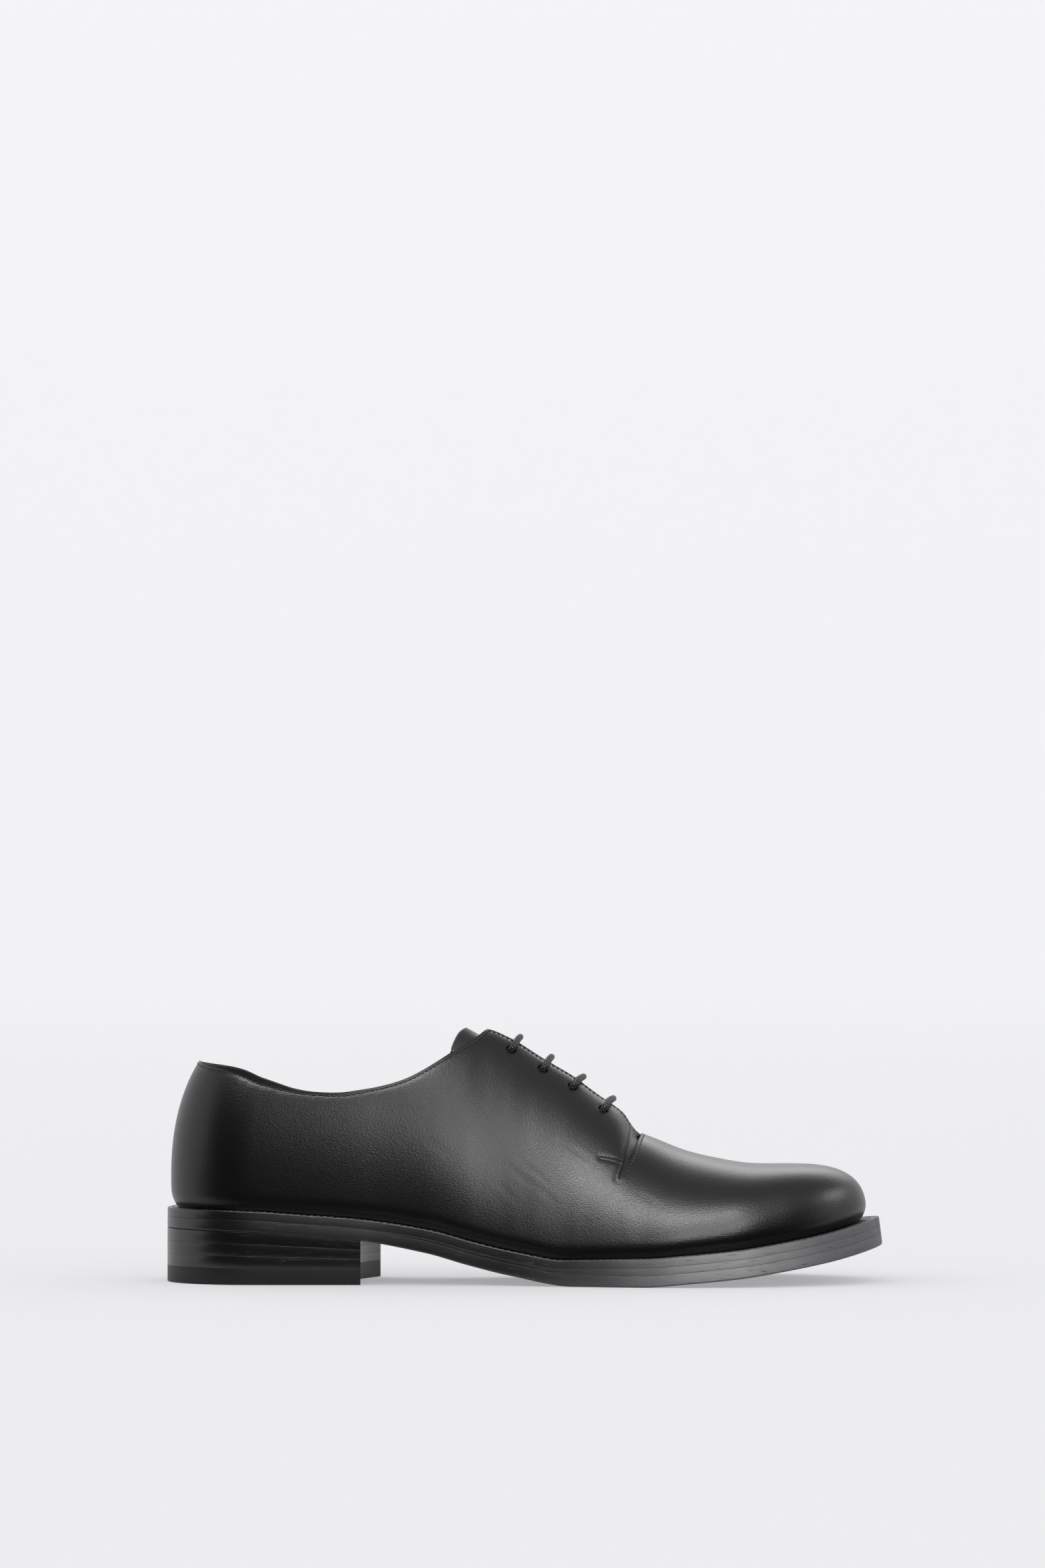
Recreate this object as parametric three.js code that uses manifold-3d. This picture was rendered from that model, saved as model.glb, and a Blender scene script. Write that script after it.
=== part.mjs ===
// Right shoe of a pair of men's derby shoes: a plain toe and quarters cut in one piece of leather,
// four laced bars over a separate tongue, a welted leather sole and a stacked heel.
// Toe along +X, inner side of the foot along +Y, up along +Z, in millimetres. The shoe stands on z = 0.
import * as THREE from "three";
import { mergeVertices } from "three/addons/utils/BufferGeometryUtils.js";
import Module from "manifold-3d";

const wasm = await Module();
wasm.setup();

// Driving sizes of the sole and heel
const soleLength = 300;
const ballWidth = 108;
const heelPitch = 22.6;
const toeSpring = 15.5;
const outsoleThickness = 4.8;
const midsoleThickness = 2.9;
const weltThickness = 3.4;
const weltWidth = 13;
const insoleThickness = 2.5;
const topLiftThickness = 6.9;
const liftCount = 3;
const breastHollow = 6.5;
const seam = 0.3;
const featherGap = 0.55;

// Driving sizes of the upper, the tongue and the lace
const instepRise = 90;
const wall = 2;
const weltStep = 4.2;
const featherTuck = 2;
const tuckHeight = 7;
const throatHalfGap = 3;
const eyeletDiameter = 4;
const eyeletDrop = 5;
const eyeletPitch = 15.6;
const tongueThickness = 1.8;
const tongueEase = 0.7;
const laceDiameter = 2.5;

// Outline of the sole from above: half widths as shares of the ball width
const planRows = [
  { along: 0, outer: 0.305, inner: 0.305 },
  { along: 0.15, outer: 0.315, inner: 0.31 },
  { along: 0.28, outer: 0.312, inner: 0.272 },
  { along: 0.42, outer: 0.335, inner: 0.235 },
  { along: 0.55, outer: 0.42, inner: 0.305 },
  { along: 0.65, outer: 0.492, inner: 0.4 },
  { along: 0.72, outer: 0.51, inner: 0.463 },
  { along: 0.79, outer: 0.497, inner: 0.488 },
  { along: 0.87, outer: 0.455, inner: 0.485 },
  { along: 1, outer: 0.4, inner: 0.45 },
];
const heelCap = { reach: 0.12, bluntness: 2.1 };
const toeCap = { reach: 0.2, bluntness: 2.3 };

// Underside of the sole: shares of the heel pitch behind the ball and of the toe spring before it
const undersideRows = [
  { along: 0, pitch: 1, spring: 0 },
  { along: 0.107, pitch: 0.972, spring: 0 },
  { along: 0.183, pitch: 0.905, spring: 0 },
  { along: 0.272, pitch: 0.808, spring: 0 },
  { along: 0.363, pitch: 0.587, spring: 0 },
  { along: 0.42, pitch: 0.375, spring: 0 },
  { along: 0.48, pitch: 0.185, spring: 0 },
  { along: 0.567, pitch: 0, spring: 0 },
  { along: 0.66, pitch: 0, spring: 0 },
  { along: 0.728, pitch: 0, spring: 0.095 },
  { along: 0.797, pitch: 0, spring: 0.226 },
  { along: 0.863, pitch: 0, spring: 0.42 },
  { along: 0.93, pitch: 0, spring: 0.66 },
  { along: 1, pitch: 0, spring: 1 },
];

// The midsole is skived away from the ball towards the heel
const skiveRows = [
  { along: 0, left: 0 },
  { along: 0.272, left: 0.1 },
  { along: 0.363, left: 0.34 },
  { along: 0.52, left: 0.5 },
  { along: 0.567, left: 0.75 },
  { along: 0.66, left: 1 },
];
const midsoleStart = 0.4;

// Step of the welt beyond the upper, as shares of its greatest width
const stepRows = [
  { along: 0, share: 0.42 },
  { along: 0.2, share: 0.48 },
  { along: 0.36, share: 0.55 },
  { along: 0.5, share: 0.8 },
  { along: 0.65, share: 1 },
  { along: 0.88, share: 1 },
  { along: 1, share: 0.86 },
];

// Sections of the last: rise of the ridge above the welt and rise that the low flank aims at, both as
// shares of the instep rise, place of the ridge towards the inner side as a share of the ball width,
// roundness at the ridge and at the feather line, and swell of the two flanks beyond that line
const sectionRows = [
  { along: 0.17, rise: 0.917, aim: 0.917, crest: 0, arch: 2.6, flank: 2.3, outer: 0.03, inner: 0.03 },
  { along: 0.3, rise: 0.945, aim: 0.94, crest: 0.015, arch: 2.5, flank: 2.0, outer: 0.02, inner: 0.04 },
  { along: 0.417, rise: 0.997, aim: 0.93, crest: 0.035, arch: 2.2, flank: 1.55, outer: 0.02, inner: 0.1 },
  { along: 0.453, rise: 0.998, aim: 0.905, crest: 0.04, arch: 2.1, flank: 1.42, outer: 0.02, inner: 0.1 },
  { along: 0.481, rise: 0.978, aim: 0.88, crest: 0.042, arch: 2.05, flank: 1.34, outer: 0.02, inner: 0.08 },
  { along: 0.515, rise: 0.931, aim: 0.84, crest: 0.044, arch: 2, flank: 1.3, outer: 0.02, inner: 0.06 },
  { along: 0.56, rise: 0.855, aim: 0.77, crest: 0.046, arch: 2, flank: 1.3, outer: 0.01, inner: 0.04 },
  { along: 0.604, rise: 0.745, aim: 0.69, crest: 0.044, arch: 2, flank: 1.34, outer: 0, inner: 0.02 },
  { along: 0.638, rise: 0.66, aim: 0.625, crest: 0.042, arch: 2, flank: 1.4, outer: 0, inner: 0.01 },
  { along: 0.66, rise: 0.565, aim: 0.583, crest: 0.04, arch: 2.05, flank: 1.46, outer: 0, inner: 0 },
  { along: 0.683, rise: 0.528, aim: 0.54, crest: 0.038, arch: 2.1, flank: 1.54, outer: 0, inner: 0 },
  { along: 0.727, rise: 0.458, aim: 0.465, crest: 0.032, arch: 2.15, flank: 1.75, outer: 0, inner: 0 },
  { along: 0.772, rise: 0.409, aim: 0.409, crest: 0.025, arch: 2.25, flank: 2.05, outer: 0, inner: 0 },
  { along: 0.817, rise: 0.368, aim: 0.368, crest: 0.015, arch: 2.45, flank: 2.45, outer: 0, inner: 0 },
  { along: 0.87, rise: 0.338, aim: 0.338, crest: 0, arch: 2.9, flank: 2.9, outer: 0, inner: 0 },
];
const heelSpine = 0.17;
const toeSpine = 0.87;

// Top edge of the quarters from the back seam to the front of the instep: rise above the welt as a
// share of the instep rise, on the outer and on the inner side
const collarRows = [
  { along: 0.053, outer: 0.687, inner: 0.687 },
  { along: 0.089, outer: 0.654, inner: 0.652 },
  { along: 0.134, outer: 0.605, inner: 0.6 },
  { along: 0.176, outer: 0.581, inner: 0.563 },
  { along: 0.213, outer: 0.575, inner: 0.554 },
  { along: 0.255, outer: 0.586, inner: 0.57 },
  { along: 0.314, outer: 0.65, inner: 0.632 },
  { along: 0.358, outer: 0.737, inner: 0.723 },
  { along: 0.401, outer: 0.858, inner: 0.854 },
  { along: 0.431, outer: 0.945, inner: 0.945 },
];

// Front edge of the quarter and, behind the wedge that opens on the tongue, the edge of the vamp
const quarterFrontRows = [
  { along: 0.6505, rise: 0.585 },
  { along: 0.649, rise: 0.535 },
  { along: 0.6415, rise: 0.475 },
  { along: 0.636, rise: 0.42 },
  { along: 0.6305, rise: 0.378 },
];
const slitEnd = { along: 0.6305, rise: 0.357 };
const vampEdgeRows = [
  { along: 0.634, rise: 0.38 },
  { along: 0.643, rise: 0.435 },
  { along: 0.653, rise: 0.495 },
  { along: 0.661, rise: 0.55 },
];

// Ends of the throat, and the lace: place of its first bar and the way across it from eyelet to eyelet
const vampTopAlong = 0.662;
const quarterPeak = 0.447;
const quarterCorner = 0.636;
const barShares = [0.05, 0.2, 0.35, 0.5, 0.65, 0.8, 0.95];
const firstBar = 0.4907;
const eyeletCount = 4;

// Tongue: half width along its length, as a share of the way from the ridge to the feather line
const tongueTop = 0.415;
const tongueFront = 0.71;
const tongueRows = [
  { along: 0.415, half: 0.29 },
  { along: 0.56, half: 0.33 },
  { along: 0.62, half: 0.6 },
  { along: 0.71, half: 0.62 },
];

// Heel breast: its outer end lies further back than its inner end
const breastOuter = 0.272;
const breastInner = 0.2965;

// Steps of the meshes
const upperSteps = { along: 58, across: 24 };
const soleSteps = { along: 40, across: 2 };
const heelSteps = { along: 12, across: 4 };
const tongueSteps = { along: 16, across: 10 };
const evenness = 0.3;
const laceSteps = 14;
const cordSides = 8;
const outlineSteps = { collar: 34, front: 14, vamp: 10, eyelet: 12 };
const bisections = 40;
const newtonSteps = 5;
const nudge = 1e-4;
const weld = 1e-3;

// Height of a smooth curve through the rows of a table, without overshoot between them
function follow(rows, column, along) {
  const last = rows.length - 1;
  if (along <= rows[0].along) return rows[0][column];
  if (along >= rows[last].along) return rows[last][column];
  let i = 0;
  while (rows[i + 1].along < along) i += 1;
  const width = (j) => rows[j + 1].along - rows[j].along;
  const slope = (j) => (rows[j + 1][column] - rows[j][column]) / width(j);
  const tangent = (j) => {
    if (j === 0 || j === last) return slope(j === 0 ? 0 : last - 1);
    const before = slope(j - 1);
    const after = slope(j);
    if (before * after <= 0) return 0;
    return (before * after * (width(j - 1) + width(j))) / (before * width(j) + after * width(j - 1));
  };
  const h = width(i);
  const t = (along - rows[i].along) / h;
  const start = rows[i][column] * (1 + 2 * t) * (1 - t) ** 2 + tangent(i) * h * t * (1 - t) ** 2;
  const end = rows[i + 1][column] * t * t * (3 - 2 * t) + tangent(i + 1) * h * t * t * (t - 1);
  return start + end;
}

// Halving of an interval until the test turns from false to true
function halve(low, high, test) {
  for (let i = 0; i < bisections; i += 1) {
    const middle = (low + high) / 2;
    if (test(middle)) high = middle;
    else low = middle;
  }
  return (low + high) / 2;
}

// Sole as a bent plate: a place along it, across it and up from its underside
function underside(x) {
  const share = (column) => follow(undersideRows, column, x / soleLength);
  return heelPitch * share("pitch") + toeSpring * share("spring");
}

function onSole(x, y, up) {
  const slope = (underside(x + 1) - underside(x - 1)) / 2;
  const lean = Math.atan(slope);
  return new THREE.Vector3(x - Math.sin(lean) * up, y, underside(x) + Math.cos(lean) * up);
}

function midsoleRoom(x) {
  return (midsoleThickness + seam) * follow(skiveRows, "left", x / soleLength);
}

function weltBase(x) {
  return outsoleThickness + seam + midsoleRoom(x);
}

function weltTop(x) {
  return weltBase(x) + weltThickness;
}

// Outline of the sole as a loop: 0 at the heel, up the outer side to 1 at the toe, back to 2
function roundEnd(reach, cap) {
  if (reach >= cap.reach) return 1;
  return (1 - (1 - reach / cap.reach) ** cap.bluntness) ** (1 / cap.bluntness);
}

function edge(loop) {
  const turn = ((loop % 2) + 2) % 2;
  const outer = turn <= 1;
  const along = (1 - Math.cos(Math.PI * turn)) / 2;
  const half = ballWidth * follow(planRows, outer ? "outer" : "inner", along);
  const ends = roundEnd(along, heelCap) * roundEnd(1 - along, toeCap);
  return new THREE.Vector2(along * soleLength, (outer ? -1 : 1) * half * ends);
}

function rim(loop, inset) {
  const at = edge(loop);
  const way = edge(loop + nudge).sub(edge(loop - nudge)).normalize();
  return new THREE.Vector2(at.x - way.y * inset, at.y + way.x * inset);
}

// Surface of the last: u runs from heel to toe, v from the outer feather line over the ridge at 0
// to the inner feather line. Beyond both ends it turns over to the other side
function last(u, v) {
  if (u < 0) return last(-u, -v);
  if (u > 1) return last(2 - u, -v);
  const outer = v < 0;
  const loop = outer ? u : 2 - u;
  const step = weltStep * follow(stepRows, "share", edge(loop).x / soleLength);
  const wallLine = rim(loop, step);
  const foot = onSole(wallLine.x, wallLine.y, weltTop(wallLine.x) + featherGap);
  const along = (1 - Math.cos(Math.PI * u)) / 2;
  const spine = heelSpine + (toeSpine - heelSpine) * along * along * (3 - 2 * along);
  const ridgeX = spine * soleLength;
  const rise = follow(sectionRows, "rise", spine);
  const aim = follow(sectionRows, "aim", spine);
  const ridgeZ = underside(ridgeX) + weltTop(ridgeX) + instepRise * rise;
  const ridge = new THREE.Vector3(ridgeX, ballWidth * follow(sectionRows, "crest", spine), ridgeZ);
  const arch = follow(sectionRows, "arch", spine);
  const flank = follow(sectionRows, "flank", spine);
  const swell = follow(sectionRows, outer ? "outer" : "inner", spine);
  const angle = (Math.max(0, 1 - Math.abs(v)) * Math.PI) / 2;
  let radius = 1;
  for (let i = 0; i < newtonSteps; i += 1) {
    const side = (radius * Math.cos(angle)) ** arch;
    const up = (radius * Math.sin(angle)) ** flank;
    radius -= (radius * (side + up - 1)) / (arch * side + flank * up);
  }
  const height = radius * Math.sin(angle);
  const reach = radius * Math.cos(angle) * (1 + swell * Math.sin(Math.PI * height));
  const low = Math.max(0, 1 - (height * (ridge.z - foot.z)) / tuckHeight);
  const run = Math.hypot(foot.x - ridge.x, foot.y - ridge.y);
  const out = reach - (featherTuck * low * low) / run;
  const bulge = instepRise * (rise - aim) * height * (1 - height * height);
  return new THREE.Vector3(
    ridge.x + (foot.x - ridge.x) * out,
    ridge.y + (foot.y - ridge.y) * out,
    foot.z + (ridge.z - foot.z) * height - bulge,
  );
}

// A point off the last: up is along its outward normal
function offLast(u, v, up) {
  const along = last(u + nudge, v).sub(last(u - nudge, v));
  const across = last(u, v + nudge).sub(last(u, v - nudge));
  return last(u, v).addScaledVector(along.cross(across).normalize(), up);
}

// The place on the last that has a given distance along the shoe and passes a test down its side
function find(side, x, test) {
  let u = 0;
  const far = halve(0, 1, (v) => {
    u = halve(0, 1, (guess) => last(guess, side * v).x > x);
    return test(last(u, side * v));
  });
  return new THREE.Vector2(u, side * far);
}

function atRise(side, row) {
  const x = row.along * soleLength;
  const z = underside(x) + weltTop(x) + instepRise * row.rise;
  return find(side, x, (point) => point.z < z);
}

function besideRidge(side, along, away) {
  const x = along * soleLength;
  const crest = ballWidth * follow(sectionRows, "crest", along);
  return find(side, x, (point) => Math.abs(point.y - crest) > away);
}

// Closed mesh from a geometry: welded, without faces that have collapsed
function welded(geometry) {
  const bare = geometry.clone();
  bare.deleteAttribute("normal");
  bare.deleteAttribute("uv");
  const merged = mergeVertices(bare, weld);
  const kept = [];
  for (let i = 0; i < merged.index.count; i += 3) {
    const [a, b, c] = [0, 1, 2].map((k) => merged.index.getX(i + k));
    if (a !== b && b !== c && c !== a) kept.push(a, b, c);
  }
  merged.setIndex(kept);
  return merged;
}

// A block of unit size, shaped by a function of its three shares from 0 to 1. Ends that meet are open
function shaped(steps, place, open = false) {
  const block = new THREE.BoxGeometry(1, 1, 1, steps.along, steps.across, 1).translate(0.5, 0.5, 0.5);
  return drawn(block, place, open);
}

function drawn(block, place, open) {
  const flat = welded(block);
  const spots = flat.attributes.position;
  const isEnd = (i, end) => Math.abs(spots.getX(i) - end) < nudge / 10;
  const kept = [];
  for (let i = 0; i < flat.index.count; i += 3) {
    const face = [0, 1, 2].map((k) => flat.index.getX(i + k));
    const closing = [0, 1].some((end) => face.every((spot) => isEnd(spot, end)));
    if (!(open && closing)) kept.push(...face);
  }
  flat.setIndex(kept);
  for (let i = 0; i < spots.count; i += 1) {
    const point = place(spots.getX(i), spots.getY(i), spots.getZ(i));
    spots.setXYZ(i, point.x, point.y, point.z);
  }
  const geometry = welded(flat);
  geometry.computeVertexNormals();
  return geometry;
}

function mesh(name, geometry, finish) {
  const piece = new THREE.Mesh(geometry, finish);
  piece.name = name;
  return piece;
}

const calf = new THREE.MeshStandardMaterial({ color: "#17171a", roughness: 0.42, metalness: 0 });
const lining = new THREE.MeshStandardMaterial({ color: "#1b1a1a", roughness: 0.7, metalness: 0 });
const edgeDye = new THREE.MeshStandardMaterial({ color: "#202124", roughness: 0.5, metalness: 0 });
const rubber = new THREE.MeshStandardMaterial({ color: "#18181a", roughness: 0.75, metalness: 0 });
const waxedCord = new THREE.MeshStandardMaterial({ color: "#1e1e20", roughness: 0.65, metalness: 0 });

// Plate of the sole between two heights, from one share of its loop to another
function plate(name, inset, from, base, top, finish) {
  const clip = 1 / (2 * soleSteps.along);
  const start = Math.max(clip, Math.acos(1 - 2 * from) / Math.PI);
  const place = (a, b, c) => {
    const loop = start + (1 - clip - start) * a;
    const spot = rim(loop, inset).lerp(rim(2 - loop, inset), b);
    return onSole(spot.x, spot.y, THREE.MathUtils.lerp(base(spot.x), top(spot.x), c));
  };
  return mesh(name, shaped(soleSteps, place), finish);
}

// Strip of the welt, all the way round under the edge of the upper
function weltStrip() {
  const place = (a, b, c) => {
    const spot = rim(2 * a, weltWidth * b);
    return onSole(spot.x, spot.y, weltBase(spot.x) + weltThickness * c);
  };
  const steps = { along: 2 * soleSteps.along, across: 1 };
  return mesh("welt", shaped(steps, place, true), edgeDye);
}

// One lift of the heel. Its front face is hollow, and its levels are shares of the leather stack
function heelLift(name, low, high, finish) {
  const clip = 1 / (2 * soleSteps.along);
  const loopAt = (along) => Math.acos(1 - 2 * along) / Math.PI;
  const place = (a, b, c) => {
    const outer = edge(THREE.MathUtils.lerp(clip, loopAt(breastOuter), a));
    const inner = edge(2 - THREE.MathUtils.lerp(clip, loopAt(breastInner), a));
    const spot = outer.lerp(inner, b);
    const x = spot.x - breastHollow * 4 * b * (1 - b) * a * a;
    return new THREE.Vector3(x, spot.y, THREE.MathUtils.lerp(low(x), high(x), c));
  };
  return mesh(name, shaped(heelSteps, place), finish);
}

function heelStack() {
  const lifts = [heelLift("top_lift", () => 0, () => topLiftThickness, rubber)];
  for (let i = 0; i < liftCount; i += 1) {
    const level = (k) => (x) => {
      const room = underside(x) - topLiftThickness;
      return topLiftThickness + (room * k) / liftCount;
    };
    const low = (x) => level(i)(x) + seam;
    const top = i + 1 < liftCount ? level(i + 1) : (x) => underside(x) - seam;
    lifts.push(heelLift(`heel_lift_${i + 1}`, low, top, edgeDye));
  }
  return lifts;
}

// Opening of the upper on the flat leather: collar, throat and the two wedges beside the tongue
function openingShape() {
  const sideLine = (side) => {
    const column = side < 0 ? "outer" : "inner";
    const collar = collarRows.slice(1).map((row) => atRise(side, { along: row.along, rise: row[column] }));
    const backSeam = new THREE.Vector2(0, side * halve(0, 1, (v) => last(0, v).z < backHeight()));
    const throat = [quarterPeak, quarterCorner].map((along) => besideRidge(side, along, throatHalfGap));
    const front = quarterFrontRows.map((row) => atRise(side, row));
    const vamp = vampEdgeRows.map((row) => atRise(side, row));
    const collarLine = new THREE.SplineCurve([backSeam, ...collar, throat[0]]).getPoints(outlineSteps.collar);
    const frontLine = new THREE.SplineCurve([throat[1], ...front]).getPoints(outlineSteps.front);
    const vampTop = besideRidge(side, vampTopAlong, throatHalfGap);
    const vampLine = new THREE.SplineCurve([...vamp, vampTop]).getPoints(outlineSteps.vamp);
    return [...collarLine, ...frontLine, atRise(side, slitEnd), ...vampLine];
  };
  const outer = sideLine(-1);
  const inner = sideLine(1);
  const beyond = [inner, outer].map((line) => new THREE.Vector2(-blank.overrun, line[0].y));
  return [...outer, ...inner.slice().reverse(), ...beyond];
}

function backHeight() {
  const x = collarRows[0].along * soleLength;
  return underside(x) + weltTop(x) + instepRise * collarRows[0].outer;
}

// Crossings of the lace: a bar over the ridge of the throat for each pitch along it, square to the
// ridge, with an eyelet on each quarter
function crossings() {
  const crest = (x) => halve(0, 1, (u) => last(u, 0).x > x);
  const places = [];
  let x = firstBar * soleLength;
  for (let i = 0; i < eyeletCount; i += 1) {
    const from = last(crest(x), 0);
    const ahead = last(crest(x + 1), 0);
    const eyeletX = x - eyeletDrop * (from.z - ahead.z);
    const eyeletZ = last(crest(eyeletX), 0).z - eyeletDrop;
    const [outer, inner] = [-1, 1].map((side) => find(side, eyeletX, (point) => point.z < eyeletZ));
    places.push({ outer, inner, top: crest(x) });
    x = halve(x, x + eyeletPitch, (guess) => last(crest(guess), 0).distanceTo(from) > eyeletPitch);
  }
  return places;
}

function holeShape(place) {
  const perU = last(place.x + nudge, place.y).distanceTo(last(place.x - nudge, place.y)) / (2 * nudge);
  const perV = last(place.x, place.y + nudge).distanceTo(last(place.x, place.y - nudge)) / (2 * nudge);
  return new THREE.EllipseCurve(
    place.x, place.y, eyeletDiameter / 2 / perU, eyeletDiameter / 2 / perV, 0, 2 * Math.PI,
  ).getPoints(outlineSteps.eyelet).slice(1);
}

// The upper is cut flat, as leather is, and then drawn over the last. The flat block has a slight
// camber, so that the cut keeps its inner vertices, and the camber goes when it is drawn
const blank = { length: soleLength, half: soleLength / 2, camber: 2e-4, overrun: 0.05, cut: 100 };

function camberAt(x, y) {
  return blank.camber * (x * x + y * y);
}

function solidOf(geometry) {
  const bare = welded(geometry);
  return new wasm.Manifold(
    new wasm.Mesh({
      numProp: 3,
      vertProperties: bare.attributes.position.array,
      triVerts: new Uint32Array(bare.index.array),
    }),
  );
}

function cutter(outline) {
  const points = outline.map((point) => new THREE.Vector2(point.x * blank.length, point.y * blank.half));
  const prism = new THREE.ExtrudeGeometry(new THREE.Shape(points), { depth: blank.cut, bevelEnabled: false });
  return solidOf(prism.translate(0, 0, -blank.cut / 2));
}

function upper() {
  const { along, across } = upperSteps;
  const block = new THREE.BoxGeometry(blank.length, 2 * blank.half, wall, along, across, 1);
  block.translate(blank.length / 2, 0, 0);
  const spots = block.attributes.position;
  for (let i = 0; i < spots.count; i += 1) {
    const share = THREE.MathUtils.clamp(spots.getX(i) / blank.length, 0, 1);
    const even = Math.acos(1 - 2 * share) / Math.PI;
    spots.setX(i, blank.length * THREE.MathUtils.lerp(share, even, evenness));
    spots.setZ(i, spots.getZ(i) + camberAt(spots.getX(i), spots.getY(i)));
  }
  let leather = solidOf(block).subtract(cutter(openingShape()));
  for (const { outer, inner } of crossings()) {
    leather = leather.subtract(cutter(holeShape(outer))).subtract(cutter(holeShape(inner)));
  }
  const cut = leather.getMesh();
  const flat = new THREE.BufferGeometry();
  const shares = new Float32Array(cut.vertProperties.length);
  for (let i = 0; i < shares.length; i += 3) {
    const [x, y, z] = cut.vertProperties.slice(i, i + 3);
    shares[i] = x / blank.length;
    shares[i + 1] = y / blank.half;
    shares[i + 2] = z - camberAt(x, y) > 0 ? 1 : 0;
  }
  flat.setAttribute("position", new THREE.BufferAttribute(shares, 3));
  flat.setIndex(Array.from(cut.triVerts));
  const place = (u, v, face) => offLast(u, v, (face - 1) * wall);
  return mesh("upper", drawn(flat, place, true), calf);
}

// The tongue lies under the throat, inside the wall of the upper
function tongue() {
  const uAt = (along) => halve(0, 1, (u) => last(u, 0).x > along * soleLength);
  const topU = uAt(tongueTop);
  const frontU = uAt(tongueFront);
  const place = (a, b, c) => {
    const u = THREE.MathUtils.lerp(topU, frontU, a);
    const half = follow(tongueRows, "half", last(u, 0).x / soleLength);
    return offLast(u, half * (2 * b - 1), -wall - tongueEase - tongueThickness * (1 - c));
  };
  return mesh("tongue", shaped(tongueSteps, place), lining);
}

// Bars of the lace: each comes out of one eyelet, crosses the throat and goes into the other
function laceBars() {
  const section = new THREE.Shape().absarc(0, 0, laceDiameter / 2, 0, 2 * Math.PI);
  const rest = laceDiameter / 2 + seam;
  return crossings().map(({ outer, inner, top }, i) => {
    const away = (share, up) => {
      const place = outer.clone().lerp(inner, share);
      const forward = (top - (outer.x + inner.x) / 2) * (1 - (2 * share - 1) ** 2);
      return offLast(place.x + forward, place.y, up);
    };
    const over = barShares.map((share) => away(share, rest));
    const ends = [0, 1].map((share) => [away(share, 0), away(share, seam - wall)]);
    const route = new THREE.CatmullRomCurve3([...ends[0].reverse(), ...over, ...ends[1]]);
    const settings = { steps: laceSteps, extrudePath: route, curveSegments: cordSides, bevelEnabled: false };
    return mesh(`lace_bar_${i + 1}`, welded(new THREE.ExtrudeGeometry(section, settings)), waxedCord);
  });
}

const shoe = new THREE.Group();
const always = (value) => () => value;
const outsoleTop = always(outsoleThickness);
const midsoleBase = always(outsoleThickness + seam);
const midsoleTop = (x) => weltBase(x) - seam;
const insoleBase = (x) => weltTop(x) + seam;
const insoleTop = (x) => insoleBase(x) + insoleThickness;
const insoleInset = weltStep + featherTuck + wall + seam;
shoe.add(upper(), tongue(), ...laceBars());
shoe.add(plate("insole", insoleInset, 0, insoleBase, insoleTop, lining), weltStrip());
shoe.add(plate("midsole", 0, midsoleStart, midsoleBase, midsoleTop, edgeDye));
shoe.add(plate("outsole", 0, 0, always(0), outsoleTop, edgeDye), ...heelStack());

// The origin lies on the floor under the middle of the shoe
const box = new THREE.Box3().setFromObject(shoe);
const middle = box.getCenter(new THREE.Vector3());
shoe.position.set(-middle.x, -middle.y, 0);
shoe.updateMatrixWorld(true);

export default shoe;
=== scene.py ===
# A men's derby shoe in black box calf on a leather sole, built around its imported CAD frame.
# It is the right shoe: toe along +X, outer side at -Y. Each section makes one piece, from the sole of
# the foot outwards. Places on the shoe are in millimetres from the back of the heel, x = 0
import math

import bmesh
import bpy
import numpy as np
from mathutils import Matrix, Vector
from mathutils.geometry import delaunay_2d_cdt
from mathutils.kdtree import KDTree


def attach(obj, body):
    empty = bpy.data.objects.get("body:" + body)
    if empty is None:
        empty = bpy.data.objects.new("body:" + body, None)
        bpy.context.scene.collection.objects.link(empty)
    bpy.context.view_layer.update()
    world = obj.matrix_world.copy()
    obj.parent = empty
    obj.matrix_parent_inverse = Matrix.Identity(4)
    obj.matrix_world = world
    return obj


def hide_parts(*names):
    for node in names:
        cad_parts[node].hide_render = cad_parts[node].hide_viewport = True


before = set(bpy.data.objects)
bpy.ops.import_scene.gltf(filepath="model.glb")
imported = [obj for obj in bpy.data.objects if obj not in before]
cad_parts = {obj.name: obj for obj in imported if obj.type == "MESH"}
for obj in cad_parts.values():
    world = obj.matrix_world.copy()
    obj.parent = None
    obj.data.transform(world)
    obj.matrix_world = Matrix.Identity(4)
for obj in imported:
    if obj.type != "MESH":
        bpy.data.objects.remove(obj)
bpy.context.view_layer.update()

# Camera: level, square to the outer side of the shoe, 3.6 m away with a long lens.
# The shoe stands low in an upright picture
camera = bpy.data.objects.new("camera", bpy.data.cameras.new("camera"))
camera.data.sensor_width = 36.0
camera.data.lens = 197.04
camera.data.clip_end = 100.0
camera.location = (-0.00098, -3.6, 0.2083)
camera.rotation_euler = (math.radians(90), 0, 0)
bpy.context.scene.collection.objects.link(camera)
bpy.context.scene.camera = camera


# Studio: a seamless round bowl of matt pale card, lit by a dim sky and by soft boxes.
# Black flags in front keep the vertical leather dark, and only gloss meets them
def linear(code):
    shares = [int(code[i : i + 2], 16) / 255 for i in (1, 3, 5)]
    return (*[s / 12.92 if s <= 0.04045 else ((s + 0.055) / 1.055) ** 2.4 for s in shares], 1.0)


def add_node(tree, kind, inputs=None, **settings):
    made = tree.nodes.new(kind)
    for name, value in settings.items():
        setattr(made, name, value)
    for name, value in (inputs or {}).items():
        if isinstance(value, bpy.types.NodeSocket):
            tree.links.new(value, made.inputs[name])
        else:
            made.inputs[name].default_value = value
    return made


def new_material(name):
    made = bpy.data.materials.new(name)
    made.use_nodes = True
    made.node_tree.nodes.clear()
    return made, made.node_tree


def new_object(name, mesh, *finishes):
    made = bpy.data.objects.new(name, mesh)
    bpy.context.scene.collection.objects.link(made)
    for finish in finishes:
        mesh.materials.append(finish)
    return made


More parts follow.
